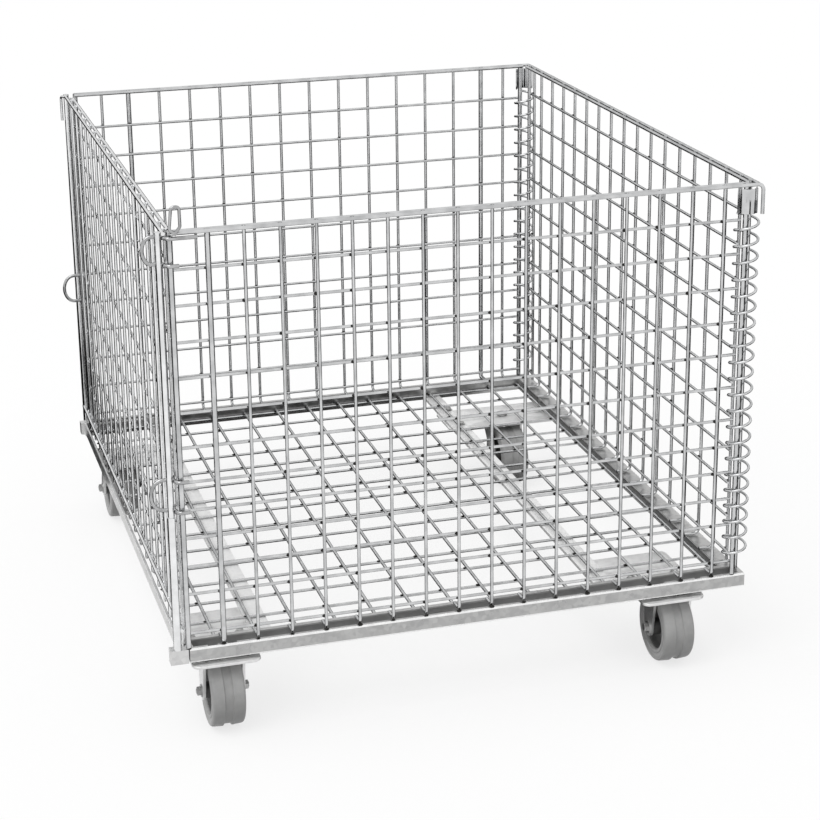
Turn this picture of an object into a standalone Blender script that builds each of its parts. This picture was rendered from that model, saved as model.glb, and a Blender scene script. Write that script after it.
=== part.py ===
"""Wheeled onion bin: a welded wire bin with a swinging side gate on four casters."""

import math

import bpy
from mathutils import Vector

MM = 0.001

# Lengths in millimetres. X runs right along the front, Y runs back, Z = 0 is the rail top.
RAIL_LEFT = -75.0
RAIL_RIGHT = 811.0
RAIL_FRONT = -4.0
RAIL_BACK = 993.0
RAIL_WIDE = 26.0
RAIL_TALL = 22.0
FRONT_RAIL_WIDE = 38.0
BACK_RAIL_WIDE = 28.0
RAIL_LIP = 7.5
LEFT_FACE_IN = 16.0
CORNER_LONG = 16.0
BACK_CORNER_OUT = 7.0
LEFT_TAB = 15.0
LEFT_BOLT_IN = 12.5
SHEET = 3.0
FIT = 0.3

BAR_THICK = 6.0
BAR_WIDE = 30.0
LEFT_BAR_IN = 105.0
RIGHT_BAR_IN = 163.0

WIRE = 5.0
CROSS_WIRE = 4.4
STOUT = 8.0
POST = 8.0
TOP_RAIL = 5.5
TOP_Z = 610.0
WIRE_TOP_OVER = 2.5
WELD = 0.2
CLEAR = 0.3
TIE_IN = 1.3
FOOT_LONG = 8.0
FOOT_GAP = 0.7
POST_GAP = 0.6
LOW_WIRE_SPACE = 15.0

LEFT_POST_IN = 27.0
RIGHT_POST_IN = 20.0
WIRE_END_SHORT = 16.0
FRONT_PITCH = 50.3
FRONT_FIRST = 51.0
FRONT_DROPS = (529.0, 487.0, 444.0, 402.0, 360.0, 309.0, 258.0, 208.0, 156.0, 104.0, 53.0)
FRONT_LOW_Z = 20.5
HOOK_OUT = 4.0
HOOK_DROP = 44.0

BACK_PANEL_IN = 6.0
BACK_PITCH = 55.0
BACK_FIRST = 158.0
BACK_STOUT_LEFT = 103.0
BACK_STOUT_RIGHT = 77.0
BACK_EDGE_LEFT = 55.0
BACK_POST_SHIFT = 9.0
BACK_EDGE_RIGHT = 34.0
BACK_DROP = 59.0
BACK_LEVEL_PITCH = 53.6
BACK_LOW_Z = 15.0

RIGHT_PANEL_IN = 7.0
RIGHT_RAIL_OVER = 1.9
RIGHT_POST = 6.2
RIGHT_FIRST = 81.0
RIGHT_PITCH = 57.6
RIGHT_EDGE_FRONT = 31.0
RIGHT_EDGE_BACK = 29.0
SIDE_DROP = 46.0
SIDE_LEVEL_PITCH = 54.0
SIDE_LOW_Z = 20.5

GATE_IN = 23.0
GATE_PITCH = 55.0
GATE_FIRST = 56.0
GATE_EDGE_FRONT = 16.0
GATE_EDGE_BACK = 34.0
GATE_POST = 9.0
GATE_POST_WELD = 0.5
GATE_SLEEVE = 12.0
GATE_GAP = 0.5
GATE_TIE_Z = 29.5

FLOOR_FIRST_X = 46.4
FLOOR_X_PITCH = 60.4
FLOOR_EDGE_IN = 6.0
FLOOR_FRONT_GAP = 3.0
FLOOR_BACK_GAP = 4.0
FLOOR_Y_PITCH = 66.0

COIL_OUT_X = 6.0
COIL_IN_Y = 8.0
COIL_WIRE = 4.0
COIL_PITCH = 25.4
COIL_LOW_Z = 29.0
POINTS_PER_TURN = 8
CAP_SHIFT = 1.0
CAP_SHEET = 1.5
CAP_LOW_DROP = 43.0
CAP_HIGH_DROP = 6.0

CLIP_WIRE = 4.6
CLIP_ROOM = 2.55
CLIP_BOW_X = -26.0
CLIP_TIP_X = 26.0
LONG_TIP_X = 52.0
UPPER_CLIP_DROPS = (49.0, 12.0)
LOWER_CLIP_Z = (211.0, 256.0)
SLEEVE_UNDER_CLIP = 8.0
BACK_RING_Z = (236.0, 283.0)
HAIRPIN_WIRE = 3.5
HAIRPIN_WIDE = 14.0
HAIRPIN_SHIFT = -3.0
HAIRPIN_DROP = 8.0
HAIRPIN_OVER = 38.0

FRONT_CASTER_IN = (54.0, 108.0)
RIGHT_PLATE_SHIFT = -9.0
FRONT_CASTER_BACK = 42.0
REAR_CASTER_IN = (34.0, 79.0)
REAR_CASTER_FRONT = 155.0
REAR_TRAIL = 33.0
WHEEL_GAP = 4.4
WHEEL_RADIUS = 54.5
WHEEL_HALF = 25.0
RIM_RADIUS = 34.7
AXLE = 5.0
AXLE_ROOM = 0.4
LEG_IN = 27.0
LEG_SHEET = 4.0
PLATE_HALF_X = 50.0
PLATE_HALF_Y = 51.0
PLATE_THICK = 4.5
PLATE_EDGE = 2.0
LEFT_SHEET_X = (50.0, 83.0)
RIGHT_SHEET_X = (90.0, 54.0)
SHEET_BACK_Y = 122.0
SHEET_FRONT_IN = 12.0
LEG_SPLAY = 17.5
SWIVEL_HALF_Y = 52.0
SWIVEL_THICK = 3.5
RACE_TALL = 3.7
CROWN_THICK = 3.3
KINGPIN = 6.0
FRONT_BOLT_X = 36.0
FRONT_BOLT_Y = 12.0
FRONT_BOLT_BACK = 38.0
REAR_BOLT_YS = (-41.0, 40.0)
RIGHT_BOLT_SHIFT = 6.0
BOLT = 4.0
BOLT_ROOM = 0.8
NUT = 7.5
NUT_TALL = 6.0
THIN_NUT = 2.9
WHEEL_SIDES = 16
WIRE_SIDES = 4

HEX = math.cos(math.pi / 6.0)
OCT = math.cos(math.pi / 8.0)

left_in = RAIL_LEFT + RAIL_WIDE
left_face = RAIL_LEFT + LEFT_FACE_IN
right_in = RAIL_RIGHT - RAIL_WIDE
front_in = RAIL_FRONT + FRONT_RAIL_WIDE
back_in = RAIL_BACK - BACK_RAIL_WIDE
left_post_x = RAIL_LEFT + LEFT_POST_IN
back_left_x = left_post_x + BACK_POST_SHIFT
right_post_x = RAIL_RIGHT - RIGHT_POST_IN
wire_end_x = right_post_x - WIRE_END_SHORT
back_y = RAIL_BACK - BACK_PANEL_IN
right_x = RAIL_RIGHT - RIGHT_PANEL_IN
hook_x = RAIL_RIGHT + HOOK_OUT
wire_top_z = TOP_Z + WIRE_TOP_OVER
stout_out = (STOUT - WIRE) / 2.0 + 0.1
foot_z = WIRE / 2.0 + FOOT_GAP
stout_foot_z = STOUT / 2.0 + POST_GAP
rail_face = WIRE / 2.0 + TOP_RAIL - WELD

gate_x = RAIL_LEFT + GATE_IN
gate_post_out = WIRE / 2.0 + TOP_RAIL + GATE_POST / 2.0 - GATE_POST_WELD
gate_post_x = gate_x - gate_post_out
gate_back_x = gate_post_x + BACK_POST_SHIFT
gate_post_ys = (0.0, back_y)
gate_edge_ys = (GATE_EDGE_FRONT, back_y - GATE_EDGE_BACK)

coil_x = right_post_x + COIL_OUT_X
coil_front_y = COIL_IN_Y
coil_back_y = back_y - COIL_IN_Y
coil_room = math.hypot(COIL_OUT_X, COIL_IN_Y) + POST / 2.0 / HEX + FIT
coil_radius = (coil_room + COIL_WIRE / 2.0) / OCT
cap_room = math.hypot(COIL_OUT_X - CAP_SHIFT, COIL_IN_Y - CAP_SHIFT) + POST / 2.0 / HEX + FIT
cap_radius = cap_room / math.cos(math.pi / 16.0) + CAP_SHEET
cap_low_z = TOP_Z - CAP_LOW_DROP
cap_high_z = TOP_Z - CAP_HIGH_DROP
coil_turns = int((cap_low_z - COIL_WIRE / 2.0 - COIL_LOW_Z) / COIL_PITCH)

clip_pass = POST / 2.0 + CLIP_WIRE / 2.0 + CLIP_ROOM
clip_bend = (GATE_POST / 2.0 / OCT + FIT + CLIP_WIRE / 2.0 / HEX) / math.cos(math.pi / 12.0)
upper_clip_z = (TOP_Z - UPPER_CLIP_DROPS[0], TOP_Z - UPPER_CLIP_DROPS[1])

sheet_top = -RAIL_TALL - FIT
sheet_low = sheet_top - SHEET
plate_top = sheet_low - FIT
plate_low = plate_top - PLATE_THICK
wheel_z = plate_low - WHEEL_GAP - WHEEL_RADIUS
ground_z = wheel_z - WHEEL_RADIUS
leg_out = LEG_IN + LEG_SHEET
bore = AXLE + AXLE_ROOM
bolt_hole = BOLT + BOLT_ROOM

bow_tip = gate_post_x + CLIP_BOW_X - CLIP_WIRE / 2.0 / math.cos(math.pi / 12.0)
hook_tip = hook_x + TOP_RAIL / 2.0
ORIGIN_SHIFT_Y = -3.4165
origin_x = (bow_tip + hook_tip) / 2.0
origin_y = (RAIL_FRONT + RAIL_BACK) / 2.0 + ORIGIN_SHIFT_Y

ZINC = (0.62, 0.63, 0.64, 1.0)
WIRE_GREY = (0.72, 0.73, 0.74, 1.0)
DARK_ZINC = (0.45, 0.46, 0.47, 1.0)
RUBBER = (0.23, 0.23, 0.23, 1.0)
HUB_GREY = (0.33, 0.33, 0.34, 1.0)

for old in list(bpy.data.objects):
    bpy.data.objects.remove(old, do_unlink=True)

scene = bpy.context.scene
scene.unit_settings.system = "METRIC"
bin_set = bpy.data.collections.new("onion_bin")
cutter_set = bpy.data.collections.new("cutters")
scene.collection.children.link(bin_set)
scene.collection.children.link(cutter_set)
cutter_set.hide_render = True


def place(point):
    x, y, z = point
    return ((x - origin_x) * MM, (y - origin_y) * MM, (z - ground_z) * MM)


def material(name, color, metallic, roughness):
    made = bpy.data.materials.new(name)
    made.use_nodes = True
    shader = made.node_tree.nodes["Principled BSDF"]
    shader.inputs["Base Color"].default_value = color
    shader.inputs["Metallic"].default_value = metallic
    shader.inputs["Roughness"].default_value = roughness
    return made


def finish(name, shape, color=ZINC, metallic=0.9, roughness=0.35, owner=None):
    verts, faces = shape
    mesh = bpy.data.meshes.new(name)
    mesh.from_pydata([place(v) for v in verts], [], faces)
    mesh.validate()
    made = bpy.data.objects.new(name, mesh)
    (owner or bin_set).objects.link(made)
    mesh.materials.append(material(name, color, metallic, roughness))
    return made


def helper(name, shape):
    made = finish(name, shape, owner=cutter_set)
    made.hide_render = True
    made.hide_viewport = True
    return made


def combine(made, shape, operation, tag):
    other = helper(made.name + "_" + tag, shape)
    modifier = made.modifiers.new(tag, "BOOLEAN")
    modifier.operation = operation
    modifier.solver = "EXACT"
    modifier.object = other
    return made


def joined(*shapes):
    verts = []
    faces = []
    for some_verts, some_faces in shapes:
        start = len(verts)
        verts.extend(some_verts)
        faces.extend([tuple(i + start for i in face) for face in some_faces])
    return verts, faces


def box(x0, x1, y0, y1, z0, z1):
    verts = [(x, y, z) for z in (z0, z1) for y in (y0, y1) for x in (x0, x1)]
    faces = [(0, 2, 3, 1), (4, 5, 7, 6), (0, 1, 5, 4), (2, 6, 7, 3), (0, 4, 6, 2), (1, 3, 7, 5)]
    return verts, faces


def slab(outline, z0, z1):
    count = len(outline)
    verts = [(x, y, z0) for x, y in outline] + [(x, y, z1) for x, y in outline]
    faces = [tuple(reversed(range(count))), tuple(range(count, 2 * count))]
    for i in range(count):
        j = (i + 1) % count
        faces.append((i, j, j + count, i + count))
    return verts, faces


def rounded(x0, x1, y0, y1, radius, steps=2):
    outline = []
    corners = ((x1, y1, 0), (x0, y1, 90), (x0, y0, 180), (x1, y0, 270))
    for x, y, start in corners:
        cx = x - radius if x == x1 else x + radius
        cy = y - radius if y == y1 else y + radius
        for k in range(steps + 1):
            turn = math.radians(start + 90.0 * k / steps)
            outline.append((cx + radius * math.cos(turn), cy + radius * math.sin(turn)))
    return outline


def post_hole(x, y, radius, z0, z1, sides=6):
    ring = []
    for k in range(sides):
        turn = 2.0 * math.pi * (k + 0.5) / sides
        ring.append((x + radius * math.cos(turn), y + radius * math.sin(turn)))
    return slab(ring, z0, z1)


def rod(points, size, facing, sides=6):
    """A straight-sided wire along the points. One flat of it faces along 'facing'."""
    path = [Vector(p) for p in points]
    runs = [(b - a).normalized() for a, b in zip(path, path[1:])]
    radius = size / 2.0 / math.cos(math.pi / sides)
    first = Vector(facing)
    first = (first - runs[0] * first.dot(runs[0])).normalized()
    second = runs[0].cross(first)
    verts = []
    for k, centre in enumerate(path):
        run = runs[max(k - 1, 0)]
        after = runs[min(k, len(runs) - 1)]
        mitre = (run + after).normalized()
        for s in range(sides):
            turn = 2.0 * math.pi * (s + 0.5) / sides
            arm = (first * math.cos(turn) + second * math.sin(turn)) * radius
            arm = arm - run * (arm.dot(mitre) / run.dot(mitre))
            verts.append(tuple(centre + arm))
        bend = run.rotation_difference(after)
        first = bend @ first
        second = bend @ second
    last = (len(path) - 1) * sides
    faces = [tuple(reversed(range(sides))), tuple(range(last, last + sides))]
    for k in range(len(path) - 1):
        for s in range(sides):
            n = (s + 1) % sides
            a = k * sides
            faces.append((a + s, a + n, a + n + sides, a + s + sides))
    return verts, faces


def turned(profile, centre, axis, sides):
    """A closed (along, radius) outline turned round an axis through the centre."""
    cx, cy, cz = centre
    count = len(profile)
    verts = []
    for s in range(sides):
        turn = 2.0 * math.pi * s / sides
        for along, radius in profile:
            side = radius * math.sin(turn)
            up = -radius * math.cos(turn)
            if axis == "x":
                verts.append((cx + along, cy + side, cz + up))
            else:
                verts.append((cx + up, cy + side, cz + along))
    faces = []
    for s in range(sides):
        n = (s + 1) % sides
        for k in range(count):
            j = (k + 1) % count
            if axis == "x":
                faces.append((s * count + k, n * count + k, n * count + j, s * count + j))
            else:
                faces.append((s * count + k, s * count + j, n * count + j, n * count + k))
    return verts, faces


def spindle(profile, centre, axis, sides):
    """An (along, radius) profile turned round an axis, closed by a flat face at both ends."""
    cx, cy, cz = centre
    verts = []
    for along, radius in profile:
        for s in range(sides):
            turn = 2.0 * math.pi * (s + 0.5) / sides
            a = radius * math.cos(turn)
            b = radius * math.sin(turn)
            if axis == "x":
                verts.append((cx + along, cy + a, cz + b))
            else:
                verts.append((cx + a, cy + b, cz + along))
    last = (len(profile) - 1) * sides
    faces = [tuple(reversed(range(sides))), tuple(range(last, last + sides))]
    for k in range(len(profile) - 1):
        for s in range(sides):
            n = (s + 1) % sides
            a = k * sides
            faces.append((a + s, a + n, a + n + sides, a + s + sides))
    return verts, faces


def loft(sections):
    """Sections are (z, x0, x1, y0, y1), from the top down."""
    verts = []
    for z, x0, x1, y0, y1 in sections:
        verts.extend([(x0, y0, z), (x1, y0, z), (x1, y1, z), (x0, y1, z)])
    last = 4 * (len(sections) - 1)
    faces = [(0, 1, 2, 3), (last + 3, last + 2, last + 1, last)]
    for k in range(len(sections) - 1):
        a = 4 * k
        for s in range(4):
            n = (s + 1) % 4
            faces.append((a + n, a + s, a + s + 4, a + n + 4))
    return verts, faces


# Base frame: a left rail open at the top, a right channel, two lipped end channels and two flat bars.


def side_rail(name, x0, x1, y0, y1, open_x):
    made = finish(name, box(x0, x1, y0, y1, -RAIL_TALL, 0.0))
    if open_x > 0:
        hollow_x = (x0 + SHEET, x1 + 1.0)
    else:
        hollow_x = (x0 - 1.0, x1 - SHEET)
    hollow = box(*hollow_x, y0 + SHEET, y1 - SHEET, -RAIL_TALL + SHEET, -SHEET)
    return combine(made, hollow, "DIFFERENCE", "hollow")


left_rail = side_rail("left_rail", left_face, left_in, RAIL_FRONT, RAIL_BACK, 1)
front_corner = box(RAIL_LEFT, left_face + 1.0, RAIL_FRONT, RAIL_FRONT + CORNER_LONG, -RAIL_TALL, 0.0)
back_corner_x = left_face - BACK_CORNER_OUT
back_corner = box(back_corner_x, left_face + 1.0, RAIL_BACK - CORNER_LONG, RAIL_BACK, -RAIL_TALL, 0.0)
combine(left_rail, joined(front_corner, back_corner), "UNION", "corner_blocks")
open_y = (RAIL_FRONT + CORNER_LONG, RAIL_BACK - CORNER_LONG)
open_top = box(left_face + SHEET, left_in + 1.0, *open_y, -SHEET - 1.0, 1.0)
combine(left_rail, open_top, "DIFFERENCE", "open_top")
rear_y = RAIL_BACK - REAR_CASTER_FRONT
tab_y = (rear_y - SWIVEL_HALF_Y, rear_y + SWIVEL_HALF_Y)
tab = box(left_face + 1.0, left_in + LEFT_TAB, *tab_y, -RAIL_TALL, -RAIL_TALL + SHEET)
combine(left_rail, tab, "UNION", "caster_tab")
right_rail = side_rail("right_rail", right_in, RAIL_RIGHT, front_in + FIT, back_in - FIT, -1)


def end_rail(name, y0, y1):
    x0 = left_in + FIT
    x1 = RAIL_RIGHT
    made = finish(name, box(x0, x1, y0, y1, -RAIL_TALL, 0.0))
    hollow = box(x0 + SHEET, x1 - SHEET, y0 + SHEET, y1 - SHEET, -RAIL_TALL + SHEET, -SHEET)
    combine(made, hollow, "DIFFERENCE", "hollow")
    slot = box(x0 + RAIL_LIP, x1 - RAIL_LIP, y0 + RAIL_LIP, y1 - RAIL_LIP, -SHEET - 1.0, 1.0)
    return combine(made, slot, "DIFFERENCE", "slot")


front_rail = end_rail("front_rail", RAIL_FRONT, front_in)
back_rail = end_rail("back_rail", back_in, RAIL_BACK)

bar_front = front_in + FIT
bar_back = back_in - FIT
bar_top = -RAIL_TALL + BAR_THICK
left_bar_x = (left_in + LEFT_BAR_IN, left_in + LEFT_BAR_IN + BAR_WIDE)
right_bar_x = (right_in - RIGHT_BAR_IN - BAR_WIDE, right_in - RIGHT_BAR_IN)
left_bar = finish("left_bar", box(*left_bar_x, bar_front, bar_back, -RAIL_TALL, bar_top), DARK_ZINC)
right_bar = finish("right_bar", box(*right_bar_x, bar_front, bar_back, -RAIL_TALL, bar_top), DARK_ZINC)

# Floor mesh: wires left to right on the bars, wires front to back on top of them.

floor_edge_xs = (left_in + FLOOR_EDGE_IN, right_in - FLOOR_EDGE_IN)
floor_x = left_in + FLOOR_FIRST_X
floor_y = front_in + FLOOR_FRONT_GAP
floor_x_count = int((floor_edge_xs[1] - floor_x - 2.0 * WIRE) / FLOOR_X_PITCH) + 1
floor_last_y = back_in - FLOOR_BACK_GAP
floor_y_count = int((floor_last_y - floor_y - LOW_WIRE_SPACE) / FLOOR_Y_PITCH) + 1
floor_xs = [floor_x + FLOOR_X_PITCH * k for k in range(floor_x_count)]
floor_ys = [floor_y] + [floor_last_y - FLOOR_Y_PITCH * k for k in reversed(range(floor_y_count))]
floor_cross_z = bar_top + FIT + CROSS_WIRE / 2.0
floor_depth_z = floor_cross_z + (WIRE + CROSS_WIRE) / 2.0 + 2.0 * CLEAR
floor_ends = (floor_ys[0] - WIRE / 2.0, floor_ys[-1] + WIRE / 2.0)
tie = floor_depth_z - floor_cross_z - CROSS_WIRE / 2.0 - WIRE / 2.0 + WELD
floor_low = []
for k, y in enumerate(floor_ys):
    z = floor_cross_z
    if k in (0, floor_y_count):
        z = floor_cross_z + tie
    run = [(floor_edge_xs[0] - 3.0, y, z), (floor_edge_xs[1] + 3.0, y, z)]
    floor_low.append(rod(run, CROSS_WIRE, (0, 0, 1), WIRE_SIDES))
floor_high = []
for x in floor_xs:
    run = [(x, floor_ends[0], floor_depth_z), (x, floor_ends[1], floor_depth_z)]
    floor_high.append(rod(run, WIRE, (0, 0, 1), WIRE_SIDES))
for x in floor_edge_xs:
    run = [(x, floor_ends[0], floor_depth_z - tie), (x, floor_ends[1], floor_depth_z - tie)]
    floor_high.append(rod(run, WIRE, (0, 0, 1), WIRE_SIDES))
floor_mesh = finish("floor_mesh", joined(*floor_low), WIRE_GREY)
combine(floor_mesh, joined(*floor_high), "UNION", "depth_wires")


# A wall panel. Its own axes: 'along' the wall, 'out' of the wall, and z.

def wall(name, to_xyz, facing, uprights, levels, level_size, level_span, rails, low_z, low_span):
    """Uprights are (along, out, size, low z, foot). Cross wires lie on the inner side."""
    standing = []
    for along, out, size, low, foot in uprights:
        points = [(along, out, wire_top_z), (along, out, low)]
        if foot:
            points.append((along, out - foot, low))
        sides = WIRE_SIDES if size <= WIRE else 6
        if size >= GATE_POST:
            sides = 8
        standing.append(rod([to_xyz(*p) for p in points], size, facing, sides))
    lying = []
    inner = -(WIRE + level_size) / 2.0 - CLEAR
    for z in levels:
        run = [(level_span[0], inner, z), (level_span[1], inner, z)]
        lying.append(rod([to_xyz(*p) for p in run], level_size, facing, WIRE_SIDES))
    snug = (WIRE + level_size) / 2.0 - WELD
    run = [(low_span[0], -snug, low_z), (low_span[1], -snug, low_z)]
    lying.append(rod([to_xyz(*p) for p in run], level_size, facing, WIRE_SIDES))
    reach = (WIRE + TOP_RAIL) / 2.0
    for side, run in zip((reach - WELD, -reach - CLEAR), rails):
        points = [(along, side, z) for along, z in run]
        lying.append(rod([to_xyz(*p) for p in points], TOP_RAIL, facing, WIRE_SIDES))
    made = finish(name, joined(*standing), WIRE_GREY)
    return combine(made, joined(*lying), "UNION", "lying_wires")


def front_xyz(along, out, z):
    return (along, -out, z)


front_ups = [(left_post_x, 0.0, POST, POST_GAP, 0.0)]
front_first_x = left_post_x + FRONT_FIRST
front_count = int((wire_end_x - front_first_x) / FRONT_PITCH) + 1
for k in range(front_count):
    along = front_first_x + FRONT_PITCH * k
    size = STOUT if k == 0 else WIRE
    out = stout_out if k == 0 else 0.0
    if k == front_count - 1:
        out = -TIE_IN
    front_ups.append((along, out, size, foot_z if k else stout_foot_z, FOOT_LONG))
front_ups.append((right_post_x, 0.0, POST, POST_GAP, 0.0))
hook = [(left_post_x - 2.0, TOP_Z), (hook_x, TOP_Z), (hook_x, TOP_Z - HOOK_DROP)]
plain = [(left_post_x - 2.0, TOP_Z), (right_post_x + 4.0, TOP_Z)]
front_levels = [TOP_Z - drop for drop in FRONT_DROPS if TOP_Z - drop > FRONT_LOW_Z + LOW_WIRE_SPACE]
front_panel = wall(
    "front_panel", front_xyz, (0, -1, 0), front_ups, front_levels, CROSS_WIRE,
    (left_post_x, wire_end_x), (hook, plain), FRONT_LOW_Z, (left_post_x, right_post_x),
)


def back_xyz(along, out, z):
    return (along, back_y + out, z)


back_top = TOP_Z - BACK_DROP
back_level_count = int((back_top - BACK_LOW_Z - LOW_WIRE_SPACE) / BACK_LEVEL_PITCH) + 1
back_levels = [back_top - BACK_LEVEL_PITCH * k for k in range(back_level_count)]
back_stouts = (left_post_x + BACK_STOUT_LEFT, right_post_x - BACK_STOUT_RIGHT)
back_first_x = left_post_x + BACK_FIRST
back_count = int((back_stouts[1] - back_first_x - 2.0 * STOUT) / BACK_PITCH) + 1
back_ups = [(back_left_x, 0.0, POST, POST_GAP, 0.0)]
for k in range(back_count):
    back_ups.append((back_first_x + BACK_PITCH * k, 0.0, WIRE, foot_z, FOOT_LONG))
for along in back_stouts:
    back_ups.append((along, stout_out, STOUT, stout_foot_z, FOOT_LONG))
back_ups.append((left_post_x + BACK_EDGE_LEFT, 0.0, WIRE, foot_z, FOOT_LONG))
back_ups.append((right_post_x - BACK_EDGE_RIGHT, -TIE_IN, WIRE, foot_z, FOOT_LONG))
back_ups.append((right_post_x, 0.0, POST, POST_GAP, 0.0))
back_hook = [(back_left_x - 2.0, TOP_Z)] + hook[1:]
back_plain = [(back_left_x - 2.0, TOP_Z)] + plain[1:]
back_panel = wall(
    "back_panel", back_xyz, (0, 1, 0), back_ups, back_levels, CROSS_WIRE,
    (back_left_x, wire_end_x), (back_hook, back_plain), BACK_LOW_Z, (back_left_x, right_post_x),
)


def right_xyz(along, out, z):
    return (right_x + out, along, z)


side_top = TOP_Z - SIDE_DROP
side_level_count = int((side_top - SIDE_LOW_Z - LOW_WIRE_SPACE) / SIDE_LEVEL_PITCH) + 1
side_levels = [side_top - SIDE_LEVEL_PITCH * k for k in range(side_level_count)]
right_post_ys = (2.0 * COIL_IN_Y, back_y - 2.0 * COIL_IN_Y)
right_edge_ys = (right_post_ys[0] + RIGHT_EDGE_FRONT, right_post_ys[1] - RIGHT_EDGE_BACK)
right_first_y = right_post_ys[0] + RIGHT_FIRST
right_count = int((right_edge_ys[1] - right_first_y - 2.0 * WIRE) / RIGHT_PITCH) + 1
right_ups = [(along, 0.0, RIGHT_POST, POST_GAP, 0.0) for along in right_post_ys]
for k in range(right_count):
    right_ups.append((right_first_y + RIGHT_PITCH * k, 0.0, WIRE, foot_z, FOOT_LONG))
for along in right_edge_ys:
    right_ups.append((along, -TIE_IN, WIRE, foot_z, 0.0))
right_rail_in = [(right_post_ys[0] - 2.5, TOP_Z), (right_post_ys[1] + 2.5, TOP_Z)]
right_rail_out = [(-RIGHT_RAIL_OVER, TOP_Z), (back_y + RIGHT_RAIL_OVER, TOP_Z)]
right_panel = wall(
    "right_panel", right_xyz, (1, 0, 0), right_ups, side_levels, CROSS_WIRE,
    (right_edge_ys[0] - 4.0, right_edge_ys[1] + 4.0), (right_rail_out, right_rail_in),
    SIDE_LOW_Z, right_post_ys,
)


def gate_xyz(along, out, z):
    return (gate_x - out, along, z)


gate_ups = []
gate_count = int((gate_edge_ys[1] - GATE_FIRST - 2.0 * WIRE) / GATE_PITCH) + 1
for k in range(gate_count):
    size = STOUT if k == 1 else WIRE
    out = stout_out if k == 1 else 0.0
    gate_ups.append((GATE_FIRST + GATE_PITCH * k, out, size, GATE_GAP, 0.0))
for along in gate_edge_ys:
    gate_ups.append((along, -TIE_IN, WIRE, GATE_GAP, 0.0))
for along, x in zip(gate_post_ys, (gate_post_x, gate_back_x)):
    gate_ups.append((along, gate_x - x, GATE_POST, GATE_GAP, 0.0))
gate_rail_out = [(gate_post_ys[0] - 3.0, TOP_Z), (gate_post_ys[1] + 3.0, TOP_Z)]
gate_rail_in = [(gate_edge_ys[0] - 3.0, TOP_Z), (gate_edge_ys[1] + 3.0, TOP_Z)]
gate_panel = wall(
    "gate_panel", gate_xyz, (-1, 0, 0), gate_ups, side_levels, CROSS_WIRE,
    (gate_edge_ys[0] - 4.0, gate_edge_ys[1] + 4.0), (gate_rail_out, gate_rail_in),
    SIDE_LOW_Z, (gate_edge_ys[0] - 3.0, gate_edge_ys[1] + 3.0),
)
tie_out = (WIRE + TOP_RAIL) / 2.0 - WELD
tie_ends = (gate_post_ys[0] - 3.0, gate_post_ys[1] + 3.0)
tie_run = [gate_xyz(along, tie_out, GATE_TIE_Z) for along in tie_ends]
combine(gate_panel, rod(tie_run, TOP_RAIL, (-1, 0, 0)), "UNION", "outer_tie")
sleeve_ends = (GATE_GAP - WELD, LOWER_CLIP_Z[0] - SLEEVE_UNDER_CLIP)
sleeve = [(gate_post_x, gate_post_ys[0], z) for z in sleeve_ends]
combine(gate_panel, rod(sleeve, GATE_SLEEVE, (1, 0, 0)), "UNION", "sleeve")

# Corner coils: each one wire wound round two posts.

def coil(name, y, start_turn):
    points = []
    for k in range(coil_turns * POINTS_PER_TURN + 1):
        turn = start_turn + 2.0 * math.pi * k / POINTS_PER_TURN
        z = COIL_LOW_Z + COIL_PITCH * k / POINTS_PER_TURN
        points.append((coil_x + coil_radius * math.cos(turn), y + coil_radius * math.sin(turn), z))
    curve = bpy.data.curves.new(name, "CURVE")
    curve.dimensions = "3D"
    spline = curve.splines.new("POLY")
    spline.points.add(len(points) - 1)
    for slot, point in zip(spline.points, points):
        slot.co = (*place(point), 1.0)
    curve.bevel_depth = COIL_WIRE / 2.0 * MM
    curve.bevel_resolution = 1
    curve.use_fill_caps = True
    made = bpy.data.objects.new(name, curve)
    bin_set.objects.link(made)
    curve.materials.append(material(name, WIRE_GREY, 0.9, 0.3))
    least = 1.0e9
    for i, a in enumerate(points):
        for b in points[i + 4:]:
            least = min(least, math.dist(a, b))
    print(name, "least self-gap", round(least - COIL_WIRE, 2), "mm")
    return made


to_post = math.atan2(COIL_IN_Y, COIL_OUT_X)
half_step = math.pi / POINTS_PER_TURN
front_coil = coil("front_coil", coil_front_y, math.pi + to_post - 5.0 * half_step)
back_coil = coil("back_coil", coil_back_y, math.pi - to_post - half_step)


def coil_cap(name, y, front):
    outline = []
    steps = 8
    for radius, order in ((cap_radius, 1), (cap_radius - CAP_SHEET, -1)):
        for k in range(steps + 1)[::order]:
            turn = math.radians(180.0 + 180.0 * k / steps)
            outline.append((coil_x - CAP_SHIFT + radius * math.cos(turn), y + front * radius * math.sin(turn)))
    if front < 0:
        outline.reverse()
    return finish(name, slab(outline, cap_low_z, cap_high_z))


front_cap = coil_cap("front_coil_cap", coil_front_y - CAP_SHIFT, 1)
back_cap = coil_cap("back_coil_cap", coil_back_y + CAP_SHIFT, -1)

# Wire clips round the gate's posts.

def clip_path(low, high, side, top_tip):
    arm = clip_pass
    bend = [(13.0, -arm)]
    for k in range(4):
        turn = math.radians(-15.0 + 30.0 * k)
        bend.append((clip_bend * math.cos(turn), clip_bend * math.sin(turn)))
    bend.append((-8.0, arm))
    mid = (low + high) / 2.0
    half = (high - low) / 2.0
    path = [(x, y * side, low) for x, y in [(CLIP_TIP_X, -arm)] + bend]
    for k in range(1, 6):
        turn = math.radians(-90.0 + 30.0 * k)
        x = -8.0 + (CLIP_BOW_X + 8.0) * math.cos(turn)
        path.append((x, arm * side, mid + half * math.sin(turn)))
    path.extend([(x, y * side, high) for x, y in bend[::-1] + [(top_tip, -arm)]])
    return path


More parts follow.
